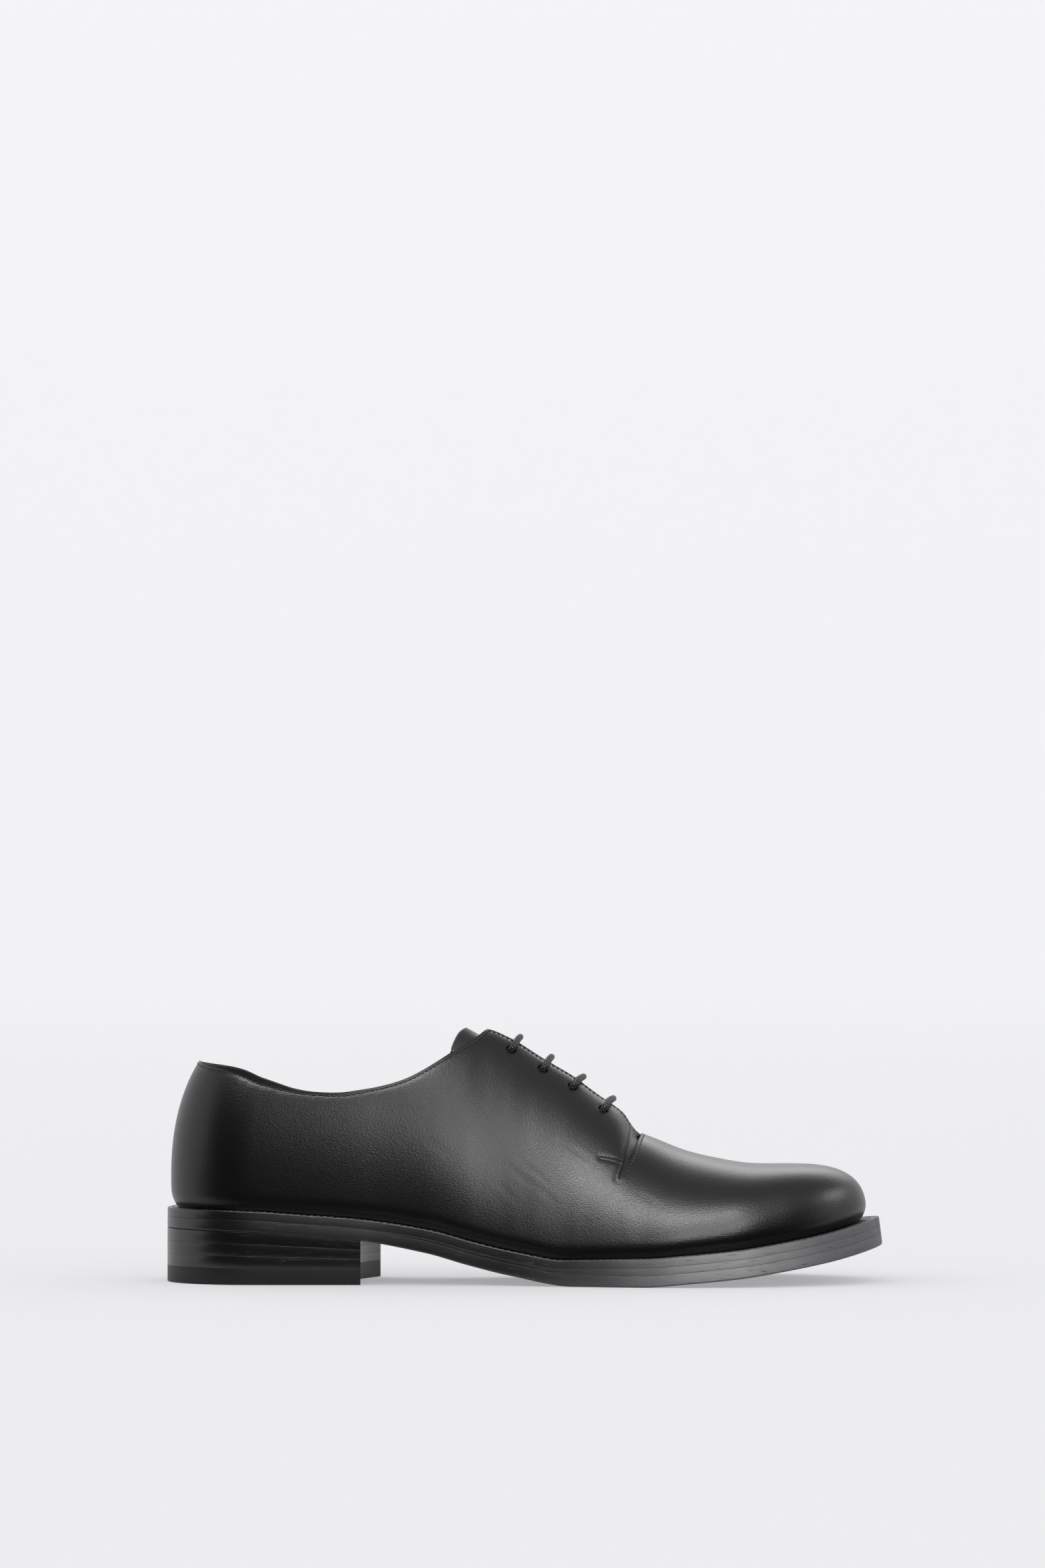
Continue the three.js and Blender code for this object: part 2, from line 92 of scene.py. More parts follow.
card, tree = new_material("matt pale seamless card")
shade = add_node(tree, "ShaderNodeBsdfPrincipled", {
    "Base Color": linear("#e6e6e7"), "Roughness": 1.0, "Specular IOR Level": 0.0,
    "Emission Color": linear("#f6f6f8"), "Emission Strength": 0.36,
})
add_node(tree, "ShaderNodeOutputMaterial", {"Surface": shade.outputs[0]})

# The bowl in metres. Its floor lies a hair below the sole, so that the two don't share a plane
bowl_floor, bowl_bend, bowl_height = 5.0, 2.2, 6.5
bowl_sides, bend_steps, floor_drop = 96, 12, 5e-5
profile = [(0.0, 0.0), (1.0, 0.0), (bowl_floor, 0.0)]
for k in range(1, bend_steps + 1):
    turn = math.radians(90 / bend_steps * k)
    profile.append((bowl_floor + bowl_bend * math.sin(turn), bowl_bend * (1 - math.cos(turn))))
profile.append((bowl_floor + bowl_bend, bowl_height))
spots, faces = [], []
for r, z in profile:
    for k in range(bowl_sides):
        turn = 2 * math.pi * k / bowl_sides
        spots.append((r * math.cos(turn), r * math.sin(turn), z - floor_drop))
for ring in range(len(profile) - 1):
    for k in range(bowl_sides):
        a, b = ring * bowl_sides + k, ring * bowl_sides + (k + 1) % bowl_sides
        faces.append((a, b, b + bowl_sides, a + bowl_sides))
bowl_mesh = bpy.data.meshes.new("studio_bowl")
bowl_mesh.from_pydata(spots, [], faces)
bowl_mesh.shade_smooth()
new_object("studio_bowl", bowl_mesh, card)

sky = bpy.data.worlds.new("studio sky")
sky.use_nodes = True
sky.node_tree.nodes["Background"].inputs["Color"].default_value = linear("#f5f5f6")
sky.node_tree.nodes["Background"].inputs["Strength"].default_value = 0.5
bpy.context.scene.world = sky
bpy.context.scene.view_settings.view_transform = "Standard"


# A soft box glows from its middle outwards, and lights the shoe alone, so that the card stays even.
# The low one is narrowed to the sole's edge
lit_pieces = bpy.data.collections.new("lit_by_soft_boxes")
lit_edges = bpy.data.collections.new("lit_by_low_soft_box")


def soft_box(name, place, aim, width, height, power, lit=lit_pieces):
    lamp = bpy.data.lights.new(name, "AREA")
    lamp.shape, lamp.size, lamp.size_y, lamp.energy = "RECTANGLE", width, height, power
    lamp.use_nodes = True
    tree = lamp.node_tree
    tree.nodes.clear()
    spot = add_node(tree, "ShaderNodeNewGeometry")
    centred = add_node(tree, "ShaderNodeVectorMath", {
        0: spot.outputs["Parametric"], 1: (0.5, 0.5, 0),
    }, operation="SUBTRACT")
    flat = add_node(tree, "ShaderNodeVectorMath", {
        0: centred.outputs[0], 1: (2, 2, 0),
    }, operation="MULTIPLY")
    away = add_node(tree, "ShaderNodeVectorMath", {0: flat.outputs[0]}, operation="LENGTH")
    glow = add_node(tree, "ShaderNodeMapRange", {
        0: away.outputs["Value"], 1: 0.0, 2: 1.0, 3: 2.2, 4: 0.0,
    }, interpolation_type="SMOOTHSTEP")
    light = add_node(tree, "ShaderNodeEmission", {"Strength": glow.outputs[0]})
    add_node(tree, "ShaderNodeOutputLight", {"Surface": light.outputs[0]})
    box = bpy.data.objects.new(name, lamp)
    box.location = place
    box.rotation_euler = (Vector(aim) - Vector(place)).to_track_quat("-Z", "Y").to_euler()
    box.visible_camera = False
    box.light_linking.receiver_collection = lit
    bpy.context.scene.collection.objects.link(box)


# Place and aim in metres, then width, height and power in watts
soft_box("soft_box_overhead", (-0.25, -1.35, 1.9), (0, 0, 0.04), 2.4, 0.6, 74)
soft_box("soft_box_forepart", (0.05, -0.36, 0.18), (0.07, 0, 0.02), 0.26, 0.1, 0.7)
soft_box("soft_box_key", (0.24, -0.5, 0.34), (0.09, 0, 0.03), 0.25, 0.2, 1.6)
soft_box("soft_box_back", (0.3, 1.9, 1.3), (0, 0, 0.04), 3.0, 0.9, 16)
soft_box("soft_box_toe", (1.6, 0.1, 1.1), (0, 0, 0.04), 1.0, 0.8, 10)
soft_box("soft_box_edge", (0.26, -0.6, 0.05), (0.1, 0, 0.01), 0.4, 0.06, 9, lit_edges)

# Black wool cloth takes up nearly all light, so the leather mirrors darkness where it faces a flag
flag_cloth, tree = new_material("black flag cloth")
shade = add_node(tree, "ShaderNodeBsdfDiffuse", {"Color": linear("#0a0a0a")})
add_node(tree, "ShaderNodeOutputMaterial", {"Surface": shade.outputs[0]})
flags = {
    "flag_behind_camera": [(-5, -2.6, 0.0), (5, -2.6, 0.0), (5, -2.6, 3.4), (-5, -2.6, 3.4)],
    "flag_on_table": [(-4, -2.6, 0.01), (4, -2.6, 0.01), (0.5, -0.06, 0.0005), (-0.5, -0.06, 0.0005)],
}
for name, corners in flags.items():
    flag_mesh = bpy.data.meshes.new(name)
    flag_mesh.from_pydata(corners, [], [(0, 1, 2, 3)])
    flag = new_object(name, flag_mesh, flag_cloth)
    flag.visible_camera = flag.visible_diffuse = flag.visible_shadow = False
    flag.visible_transmission = flag.visible_volume_scatter = False


# Insole: 2.5 mm sole leather, cut a little smaller than the last's bottom, inside the upper.
# A sock of thin black leather is glued over it. It sets the level of everything above the sole
sole_length = 300.0
ball_width = 108.0
heel_pitch = 22.6
toe_spring = 15.5
outsole_thickness = 4.8
midsole_thickness = 2.9
welt_thickness = 3.4
insole_thickness = 2.5
seam = 0.3  # gap between the frame's glued pieces
feather_gap = 0.55  # from the welt up to the feather line of the last
welt_step = 4.2  # greatest width of the welt that shows beside the upper
feather_tuck = 2.0  # how far the leather turns in at the feather line
upper_wall = 2.0
middle = np.array([149.967, -1.1874, 0.0])  # middle of the shoe's box

# Half widths of the sole's outline as shares of the ball width, outer and inner side
plan_rows = np.array([
    [0, 0.305, 0.305], [0.15, 0.315, 0.31], [0.28, 0.315, 0.272], [0.42, 0.351, 0.235],
    [0.55, 0.425, 0.305], [0.65, 0.489, 0.4], [0.72, 0.509, 0.463], [0.79, 0.499, 0.488],
    [0.87, 0.455, 0.485], [1, 0.4, 0.45],
])
heel_cap, toe_cap = (0.12, 2.1), (0.2, 2.3)  # reach and bluntness of the rounded ends
# Level of the sole's underside: shares of the heel pitch and of the toe spring
underside_rows = np.array([
    [0, 1, 0], [0.107, 0.972, 0], [0.183, 0.905, 0], [0.272, 0.808, 0], [0.363, 0.587, 0],
    [0.42, 0.375, 0], [0.48, 0.185, 0], [0.567, 0, 0], [0.66, 0, 0], [0.728, 0, 0.095],
    [0.797, 0, 0.226], [0.863, 0, 0.42], [0.93, 0, 0.66], [1, 0, 1],
])
# The midsole is skived away from the ball towards the heel: share of its thickness that is left
skive_rows = np.array([[0, 0], [0.272, 0.1], [0.363, 0.34], [0.52, 0.5], [0.567, 0.75], [0.66, 1]])
# Step of the welt beyond the upper, as a share of its greatest width
step_rows = np.array([
    [0, 0.42], [0.2, 0.48], [0.36, 0.55], [0.5, 0.8], [0.65, 1], [0.88, 1], [1, 0.86],
])


# A smooth line through rows, without overshoot between them
def follow(rows, column, along):
    at, height = rows[:, 0], rows[:, column]
    width = np.diff(at)
    slope = np.diff(height) / width
    before, after = slope[:-1], slope[1:]
    rising = before * after > 0
    under = np.where(rising, before * width[1:] + after * width[:-1], 1.0)
    inner = np.where(rising, before * after * (width[:-1] + width[1:]) / under, 0.0)
    tangent = np.concatenate([slope[:1], inner, slope[-1:]])
    i = np.clip(np.searchsorted(at, along) - 1, 0, len(width) - 1)
    t = np.clip((along - at[i]) / width[i], 0, 1)
    start = height[i] * (1 + 2 * t) * (1 - t) ** 2 + tangent[i] * width[i] * t * (1 - t) ** 2
    end = height[i + 1] * t * t * (3 - 2 * t) + tangent[i + 1] * width[i] * t * t * (t - 1)
    return start + end


def underside(x):
    share = x / sole_length
    return heel_pitch * follow(underside_rows, 1, share) + toe_spring * follow(underside_rows, 2, share)


# A place on the sole: along it, across it, and up square to its bent underside
def on_sole(x, y, up):
    lean = np.arctan((underside(x + 1) - underside(x - 1)) / 2)
    return np.stack([x - np.sin(lean) * up, y + 0 * x, underside(x) + np.cos(lean) * up], -1)


def welt_base(x):
    left = follow(skive_rows, 1, x / sole_length)
    return outsole_thickness + seam + (midsole_thickness + seam) * left


def welt_top(x):
    return welt_base(x) + welt_thickness


def always(height):
    return lambda x: height + 0 * x


def round_end(reach, cap):
    left = np.clip(1 - reach / cap[0], 0, 1)
    return np.maximum(1 - left ** cap[1], 0) ** (1 / cap[1])


# The sole's edge as a loop: 0 at the heel, up the outer side to 1 at the toe, back to 2
def edge(loop):
    turn = np.mod(loop, 2)
    outer = turn <= 1
    along = (1 - np.cos(np.pi * turn)) / 2
    half = ball_width * np.where(outer, follow(plan_rows, 1, along), follow(plan_rows, 2, along))
    half = half * round_end(along, heel_cap) * round_end(1 - along, toe_cap)
    return np.stack([along * sole_length, np.where(outer, -half, half)], -1)


def rim(loop, inset):
    way = edge(loop + 1e-4) - edge(loop - 1e-4)
    way /= np.linalg.norm(way, axis=-1, keepdims=True)
    return edge(loop) + np.stack([-way[..., 1], way[..., 0]], -1) * np.asarray(inset)[..., None]


def run_along(spots):
    return np.concatenate([[0], np.cumsum(np.linalg.norm(np.diff(spots, axis=0), axis=1))])


def even_loop(count):
    fine = np.linspace(0, 2, 4001)
    run = run_along(edge(fine))
    return np.interp(np.linspace(0, run[-1], count, endpoint=False), run, fine)


def finished(name, bm, finish, node, slot, smooth_angle=40):
    bmesh.ops.remove_doubles(bm, verts=bm.verts, dist=2e-6)
    bmesh.ops.recalc_face_normals(bm, faces=bm.faces)
    made = bpy.data.meshes.new(name)
    bm.to_mesh(made)
    bm.free()
    made.shade_smooth()
    made.set_sharp_from_angle(angle=math.radians(smooth_angle))
    piece = new_object(name, made, finish)
    lit_pieces.objects.link(piece)
    if slot == "sole_edge":
        lit_edges.objects.link(piece)
    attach(piece, "root")
    if node:
        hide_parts(*node)


def in_metres(points):
    return (np.asarray(points).reshape(-1, 3) - middle) / 1000


def add_rings(bm, rings):
    rows = [[bm.verts.new(p) for p in in_metres(ring)] for ring in rings]
    for low, high in zip(rows, rows[1:]):
        for k in range(len(low)):
            n = (k + 1) % len(low)
            bm.faces.new((low[k], low[n], high[n], high[k]))


# A plate of the sole is closed: its rings run round the edge, and both faces meet on a spine
spine_from, spine_to = 34.0, 262.0
fill_shares = (1.0, 0.86, 0.6, 0.3, 0.08)


# Steps over a rounded edge: depth in from the edge, level, and height above that level
def edge_profile(base, top, low, high, steps=4):
    turns = np.linspace(0, np.pi / 2, steps + 1)
    profile = [(low * (1 - math.sin(t)), base, low * (1 - math.cos(t))) for t in turns]
    profile += [(high * (1 - math.cos(t)), top, -high * (1 - math.sin(t))) for t in turns]
    return profile


def plate_rings(loop, inset, base, top, bevel_low, bevel_high):
    def at(share, deep, level, up):
        spot = rim(loop, inset + deep)
        middle_y = (rim(loop, inset)[:, 1] + rim(2 - loop, inset)[:, 1]) / 2
        spine = np.stack([np.clip(spot[:, 0], spine_from, spine_to), middle_y], -1)
        spot = spine + (spot - spine) * (1 - share)
        return on_sole(spot[:, 0], spot[:, 1], level(spot[:, 0]) + up)

    rings = [at(s, bevel_low, base, 0) for s in fill_shares]
    rings += [at(0, *step) for step in edge_profile(base, top, bevel_low, bevel_high)]
    rings += [at(s, bevel_high, top, 0) for s in reversed(fill_shares)]
    return rings


# Kid leather, glazed under a roller: satin, with a fine even grain. Widths of patterns are in
# millimetres throughout, and real fibres finer than 0.25 mm are drawn coarser, so that they show
kid_grain = 0.714
sock, tree = new_material("glazed kid sock leather")
place = add_node(tree, "ShaderNodeTexCoord")
grain = add_node(tree, "ShaderNodeTexVoronoi", {
    "Vector": place.outputs["Object"], "Scale": 1000 / kid_grain,
})
bump = add_node(tree, "ShaderNodeBump", {
    "Height": grain.outputs["Distance"], "Distance": 3e-5, "Strength": 0.5,
})
shade = add_node(tree, "ShaderNodeBsdfPrincipled", {
    "Base Color": linear("#1d1c1b"), "Roughness": 0.55, "Normal": bump.outputs["Normal"],
})
add_node(tree, "ShaderNodeOutputMaterial", {"Surface": shade.outputs[0]})

insole_inset = welt_step + feather_tuck + upper_wall + seam
bm = bmesh.new()
add_rings(bm, plate_rings(
    even_loop(200), insole_inset,
    lambda x: welt_top(x) + seam, lambda x: welt_top(x) + seam + insole_thickness, 0.3, 0.7,
))
finished("insole_with_sock", bm, sock, ["insole"], "insole_leather")


# Last and upper: quarters and plain toe are one skin of 1 mm box calf, cut flat, then pulled wet
# over the last and tucked in at the feather line. The tanned grain is boarded and waxed to a soft
# gloss, so it shows as pebbles about 0.6 mm wide where light grazes it
instep_rise = 90.0
tuck_height = 7.0
calf_thickness = 1.0
cut_rounding = 0.4
# Sections of the last: rise of the ridge, rise that the low flank aims at, the ridge's place towards
# the inner side, roundness at the ridge and at the feather line, swell of the outer and inner flank
section_rows = np.array([
    [0.17, 0.917, 0.917, 0, 2.6, 2.3, 0.03, 0.03], [0.3, 0.945, 0.94, 0.015, 2.5, 2.0, 0.02, 0.04],
    [0.417, 0.997, 0.93, 0.035, 2.2, 1.55, 0.02, 0.1], [0.453, 0.998, 0.905, 0.04, 2.1, 1.42, 0.02, 0.1],
    [0.481, 0.978, 0.88, 0.042, 2.05, 1.34, 0.02, 0.08], [0.515, 0.931, 0.84, 0.044, 2, 1.3, 0.02, 0.06],
    [0.56, 0.855, 0.77, 0.046, 2, 1.3, 0.01, 0.04], [0.604, 0.745, 0.69, 0.044, 2, 1.34, 0, 0.02],
    [0.638, 0.66, 0.625, 0.042, 2, 1.4, 0, 0.01], [0.66, 0.565, 0.583, 0.04, 2.05, 1.46, 0, 0],
    [0.683, 0.528, 0.54, 0.038, 2.1, 1.54, 0, 0], [0.727, 0.458, 0.465, 0.032, 2.15, 1.75, 0, 0],
    [0.772, 0.409, 0.409, 0.025, 2.25, 2.05, 0, 0], [0.817, 0.368, 0.368, 0.015, 2.45, 2.45, 0, 0],
    [0.87, 0.338, 0.338, 0, 2.9, 2.9, 0, 0],
])
heel_spine, toe_spine = 0.17, 0.87
# Collar, from the back seam to the top of the instep: rise on the outer and on the inner side
collar_rows = np.array([
    [0.053, 0.687, 0.687], [0.089, 0.654, 0.652], [0.134, 0.605, 0.6], [0.176, 0.581, 0.563],
    [0.213, 0.575, 0.554], [0.255, 0.586, 0.57], [0.314, 0.65, 0.632], [0.358, 0.737, 0.723],
    [0.401, 0.858, 0.854], [0.431, 0.945, 0.945],
])
quarter_front_rows = [(0.6505, 0.585), (0.649, 0.535), (0.6415, 0.475), (0.636, 0.42), (0.6305, 0.378)]
slit_end = (0.6305, 0.357)
vamp_edge_rows = [(0.634, 0.38), (0.643, 0.435), (0.653, 0.495), (0.661, 0.55)]
vamp_top, quarter_peak, quarter_corner = 0.662, 0.447, 0.636
throat_half_gap = 3.0
eyelet_diameter, eyelet_drop, eyelet_pitch, eyelet_count = 4.0, 5.0, 15.6, 4
first_bar = 0.4907
newton_steps, halvings = 5, 18


# The last's skin: u runs from heel to toe, v from the outer feather line over the ridge to the inner
def last(u, v):
    u, v = np.broadcast_arrays(np.asarray(u, float), np.asarray(v, float))
    v = np.where((u < 0) | (u > 1), -v, v)
    u = np.where(u < 0, -u, np.where(u > 1, 2 - u, u))
    outer = v < 0
    loop = np.where(outer, u, 2 - u)
    step = welt_step * follow(step_rows, 1, edge(loop)[..., 0] / sole_length)
    wall_line = rim(loop, step)
    foot = on_sole(wall_line[..., 0], wall_line[..., 1], welt_top(wall_line[..., 0]) + feather_gap)
    along = (1 - np.cos(np.pi * u)) / 2
    spine = heel_spine + (toe_spine - heel_spine) * along**2 * (3 - 2 * along)
    x = spine * sole_length
    rise, aim = follow(section_rows, 1, spine), follow(section_rows, 2, spine)
    z = underside(x) + welt_top(x) + instep_rise * rise
    ridge = np.stack([x, ball_width * follow(section_rows, 3, spine), z], -1)
    arch, flank = follow(section_rows, 4, spine), follow(section_rows, 5, spine)
    swell = np.where(outer, follow(section_rows, 6, spine), follow(section_rows, 7, spine))
    angle = np.maximum(0, 1 - np.abs(v)) * np.pi / 2
    radius = np.ones_like(angle)
    for _ in range(newton_steps):
        side, up = (radius * np.cos(angle)) ** arch, (radius * np.sin(angle)) ** flank
        radius = radius - radius * (side + up - 1) / (arch * side + flank * up)
    height = radius * np.sin(angle)
    reach = radius * np.cos(angle) * (1 + swell * np.sin(np.pi * height))
    low = np.maximum(0, 1 - height * (ridge[..., 2] - foot[..., 2]) / tuck_height)
    run = np.hypot(foot[..., 0] - ridge[..., 0], foot[..., 1] - ridge[..., 1])
    out = reach - feather_tuck * low**2 / run
    share = np.stack([out, out, 1 - height], -1)
    made = ridge + (foot - ridge) * share
    made[..., 2] -= instep_rise * (rise - aim) * height * (1 - height**3)
    return made


def frame_on_last(u, v):
    du = (last(u + 1e-4, v) - last(u - 1e-4, v)) / 2e-4
    dv = (last(u, v + 1e-4) - last(u, v - 1e-4)) / 2e-4
    normal = np.cross(du, dv)
    return du, dv, normal / np.linalg.norm(normal, axis=-1, keepdims=True)


def on_last(uv):
    return last(uv[:, 0], uv[:, 1])


def off_last(u, v, up):
    return last(u, v) + frame_on_last(u, v)[2] * np.asarray(up)[..., None]


# A move on the skin: from a place on the last by a way in millimetres that lies in its surface
def shifted(uv, way, parts=4):
    for _ in range(parts):
        du, dv, _ = frame_on_last(uv[:, 0], uv[:, 1])
        a, b, c = (du * du).sum(-1), (du * dv).sum(-1), (dv * dv).sum(-1)
        p, q = (way * du).sum(-1) / parts, (way * dv).sum(-1) / parts
        det = a * c - b * b
        uv = uv + np.stack([(c * p - b * q) / det, (a * q - b * p) / det], -1)
    return uv


# The place down one side of the last that lies at x and is the first to pass a test
def find(side, x, test):
    low, high = np.zeros(len(x)), np.ones(len(x))
    for _ in range(halvings):
        v = (low + high) / 2
        near, far = np.zeros(len(x)), np.ones(len(x))
        for _ in range(halvings):
            u = (near + far) / 2
            past = last(u, side * v)[:, 0] > x
            near, far = np.where(past, near, u), np.where(past, u, far)
        found = test(last(u, side * v))
        low, high = np.where(found, low, v), np.where(found, v, high)
    return np.stack([u, side * v], -1)


def at_rise(side, rows):
    rows = np.array(rows)
    x = rows[:, 0] * sole_length
    z = underside(x) + welt_top(x) + instep_rise * rows[:, 1]
    return find(side, x, lambda point: point[:, 2] < z)


def beside_ridge(side, along, away):
    x = np.array([along * sole_length])
    crest = ball_width * follow(section_rows, 3, x / sole_length)
    return find(side, x, lambda point: np.abs(point[:, 1] - crest) > away)


# A soft curve through points, as a draughtsman's spline
def through(points, count):
    spots = np.array(points)
    ends = np.concatenate([spots[:1], spots, spots[-1:]])
    t = np.linspace(0, len(spots) - 1, count)
    i = np.minimum(t.astype(int), len(spots) - 2)
    t = (t - i)[:, None]
    p0, p1, p2, p3 = ends[i], ends[i + 1], ends[i + 2], ends[i + 3]
    m1, m2 = (p2 - p0) / 2, (p3 - p1) / 2
    return (2 * p1 - 2 * p2 + m1 + m2) * t**3 + (3 * p2 - 3 * p1 - 2 * m1 - m2) * t**2 + m1 * t + p1


# A line on the skin, resampled to even steps in millimetres
def evened(uv, step):
    run = run_along(on_last(uv))
    at = np.linspace(0, run[-1], max(2, round(run[-1] / step) + 1))
    return np.stack([np.interp(at, run, uv[:, 0]), np.interp(at, run, uv[:, 1])], -1)


# The same line moved sideways: positive to its right, seen from outside, from heel to toe
def beside(uv, away, closed=False):
    spots = on_last(uv)
    way = np.roll(spots, -1, 0) - np.roll(spots, 1, 0)
    if not closed:
        way[0], way[-1] = spots[1] - spots[0], spots[-1] - spots[-2]
    normal = frame_on_last(uv[:, 0], uv[:, 1])[2]
    right = np.cross(way, normal)
    right /= np.linalg.norm(right, axis=-1, keepdims=True)
    return shifted(uv, right * away)


back_x = collar_rows[0, 0] * sole_length
back_z = underside(np.array([back_x])) + welt_top(np.array([back_x])) + instep_rise * collar_rows[0, 1]
levels = np.linspace(0, 1, 4001)
back_v = np.interp(-back_z, -last(0 * levels, levels)[:, 2], levels)[0]


def opening_line(side):
    collar = at_rise(side, collar_rows[1:, [0, 1 if side < 0 else 2]])
    peak, corner = [beside_ridge(side, along, throat_half_gap) for along in (quarter_peak, quarter_corner)]
    top = np.concatenate([[[0, side * back_v]], collar, peak])
    front = np.concatenate([corner, at_rise(side, quarter_front_rows)])
    vamp = np.concatenate([at_rise(side, vamp_edge_rows), beside_ridge(side, vamp_top, throat_half_gap)])
    quarter = np.concatenate([through(top, 340), through(front, 140), at_rise(side, [slit_end])])
    return quarter, through(vamp, 100)


quarters = {side: opening_line(side) for side in (-1, 1)}


def crossings():
    crest_u = np.linspace(0, 1, 20001)
    crest = last(crest_u, 0 * crest_u)
    run = run_along(crest)

    def z_at(x):
        return np.interp(x, crest[:, 0], crest[:, 2])

    places, x = [], first_bar * sole_length
    for _ in range(eyelet_count):
        eyelet_x = x - eyelet_drop * (z_at(x) - z_at(x + 1))
        z = z_at(eyelet_x) - eyelet_drop
        ends = [find(side, np.array([eyelet_x]), lambda point: point[:, 2] < z)[0] for side in (-1, 1)]
        places.append((ends[0], ends[1], np.interp(x, crest[:, 0], crest_u)))
        x = np.interp(np.interp(x, crest[:, 0], run) + eyelet_pitch, run, crest[:, 0])
    return places


bars = crossings()


def circle_on_last(centre, radius, count):
    turn = np.linspace(0, 2 * np.pi, count, endpoint=False)
    du, dv, _ = frame_on_last(centre[:1], centre[1:])
    along = du / np.linalg.norm(du)
    across = dv - along * (dv * along).sum()
    across /= np.linalg.norm(across)
    way = np.cos(turn)[:, None] * along + np.sin(turn)[:, None] * across
    return shifted(np.tile(centre, (count, 1)), way * radius)


# Lines of stitches follow the cut edges. The collar's line runs from the back seam along the throat
# and down the quarter's front, past the end of the slit
stitch_inset, seam_step = 1.6, 0.5
collar_seams, vamp_seams = {}, {}
for side, (quarter, vamp) in quarters.items():
    for seams, cut in ((collar_seams, quarter), (vamp_seams, vamp)):
        line = beside(evened(cut, seam_step), -side * stitch_inset)
        seams[side] = evened(line, seam_step)
bar_rows = [(0.633, 0.428), (0.603, 0.456), (0.604, 0.468), (0.634, 0.4467)]
bar_tacks = [evened(at_rise(side, bar_rows), seam_step) for side in (-1, 1)]
stitch_lines = [*collar_seams.values(), *vamp_seams.values(), *bar_tacks]
stitch_spots = np.concatenate([on_last(line) for line in stitch_lines])
groove_depth, groove_width = 0.2, 0.5

# Creases from lasting and the first wear, drawn one by one: along, rise and side of both ends, then
# half width and depth in millimetres
crease_rows = [
    (0.47, 0.4, 0.515, 0.3, -1, 1.6, 0.10), (0.485, 0.44, 0.54, 0.32, -1, 1.4, 0.12),
    (0.5, 0.36, 0.545, 0.25, -1, 1.5, 0.10), (0.455, 0.31, 0.49, 0.23, -1, 1.3, 0.08),
    (0.56, 0.52, 0.59, 0.45, -1, 1.3, 0.10), (0.53, 0.55, 0.575, 0.49, -1, 1.2, 0.08),
    (0.655, 0.3, 0.69, 0.22, -1, 1.5, 0.08), (0.36, 0.42, 0.4, 0.36, -1, 1.8, 0.07),
    (0.49, 0.42, 0.54, 0.3, 1, 1.5, 0.11), (0.52, 0.5, 0.57, 0.42, 1, 1.4, 0.1),
]
creases = []
for x0, z0, x1, z1, side, half_width, depth in crease_rows:
    ends = at_rise(side, [(x0, z0), (x1, z1)])
    line = through(np.array([ends[0], ends.mean(0) + [0.003, 0], ends[1]]), 24)
    creases.append((on_last(line), half_width, depth))


def distances(spots, marks):
    tree = KDTree(len(marks))
    for i, mark in enumerate(marks):
        tree.insert(mark, i)
    tree.balance()
    return np.array([tree.find(spot)[2] for spot in spots])


# The leather sinks into a groove under the thread, and folds into a crease with a lip beside it
def skin_height(uv):
    spots = on_last(uv)
    up = -groove_depth * np.exp(-((distances(spots, stitch_spots) / groove_width) ** 2))
    for line, half_width, depth in creases:
        away = np.linalg.norm(spots[:, None] - line, axis=2)
        fade = np.sin(np.pi * (away.argmin(1) + 1) / (len(line) + 1))
        near = away.min(1) / half_width
        up += fade * 0.5 * depth * (0.6 * np.exp(-((near - 1.6) ** 2)) - np.exp(-(near**2)))
    return up


pattern_scale = np.array([350.0, 100.0])
cell = 1.4


def skin_grid(step):
    fine = np.linspace(0, 1, 2001)
    run = run_along(last(fine, 0 * fine - 0.75))
    columns = np.interp(np.linspace(0, run[-1], round(run[-1] / step) + 1), run, fine)
    girth = run_along(last(0 * fine + 0.5, fine))
    rows = np.interp(np.linspace(0, girth[-1], round(girth[-1] / step) + 1), girth, fine)
    return columns, np.concatenate([-rows[:0:-1], rows])


def inside(points, outline):
    hit = np.zeros(len(points), bool)
    for a, b in zip(outline, np.roll(outline, -1, 0)):
        crosses = (a[1] > points[:, 1]) != (b[1] > points[:, 1])
        with np.errstate(divide="ignore", invalid="ignore"):
            x = a[0] + (points[:, 1] - a[1]) * (b[0] - a[0]) / (b[1] - a[1])
        hit ^= crosses & (points[:, 0] < x)
    return hit


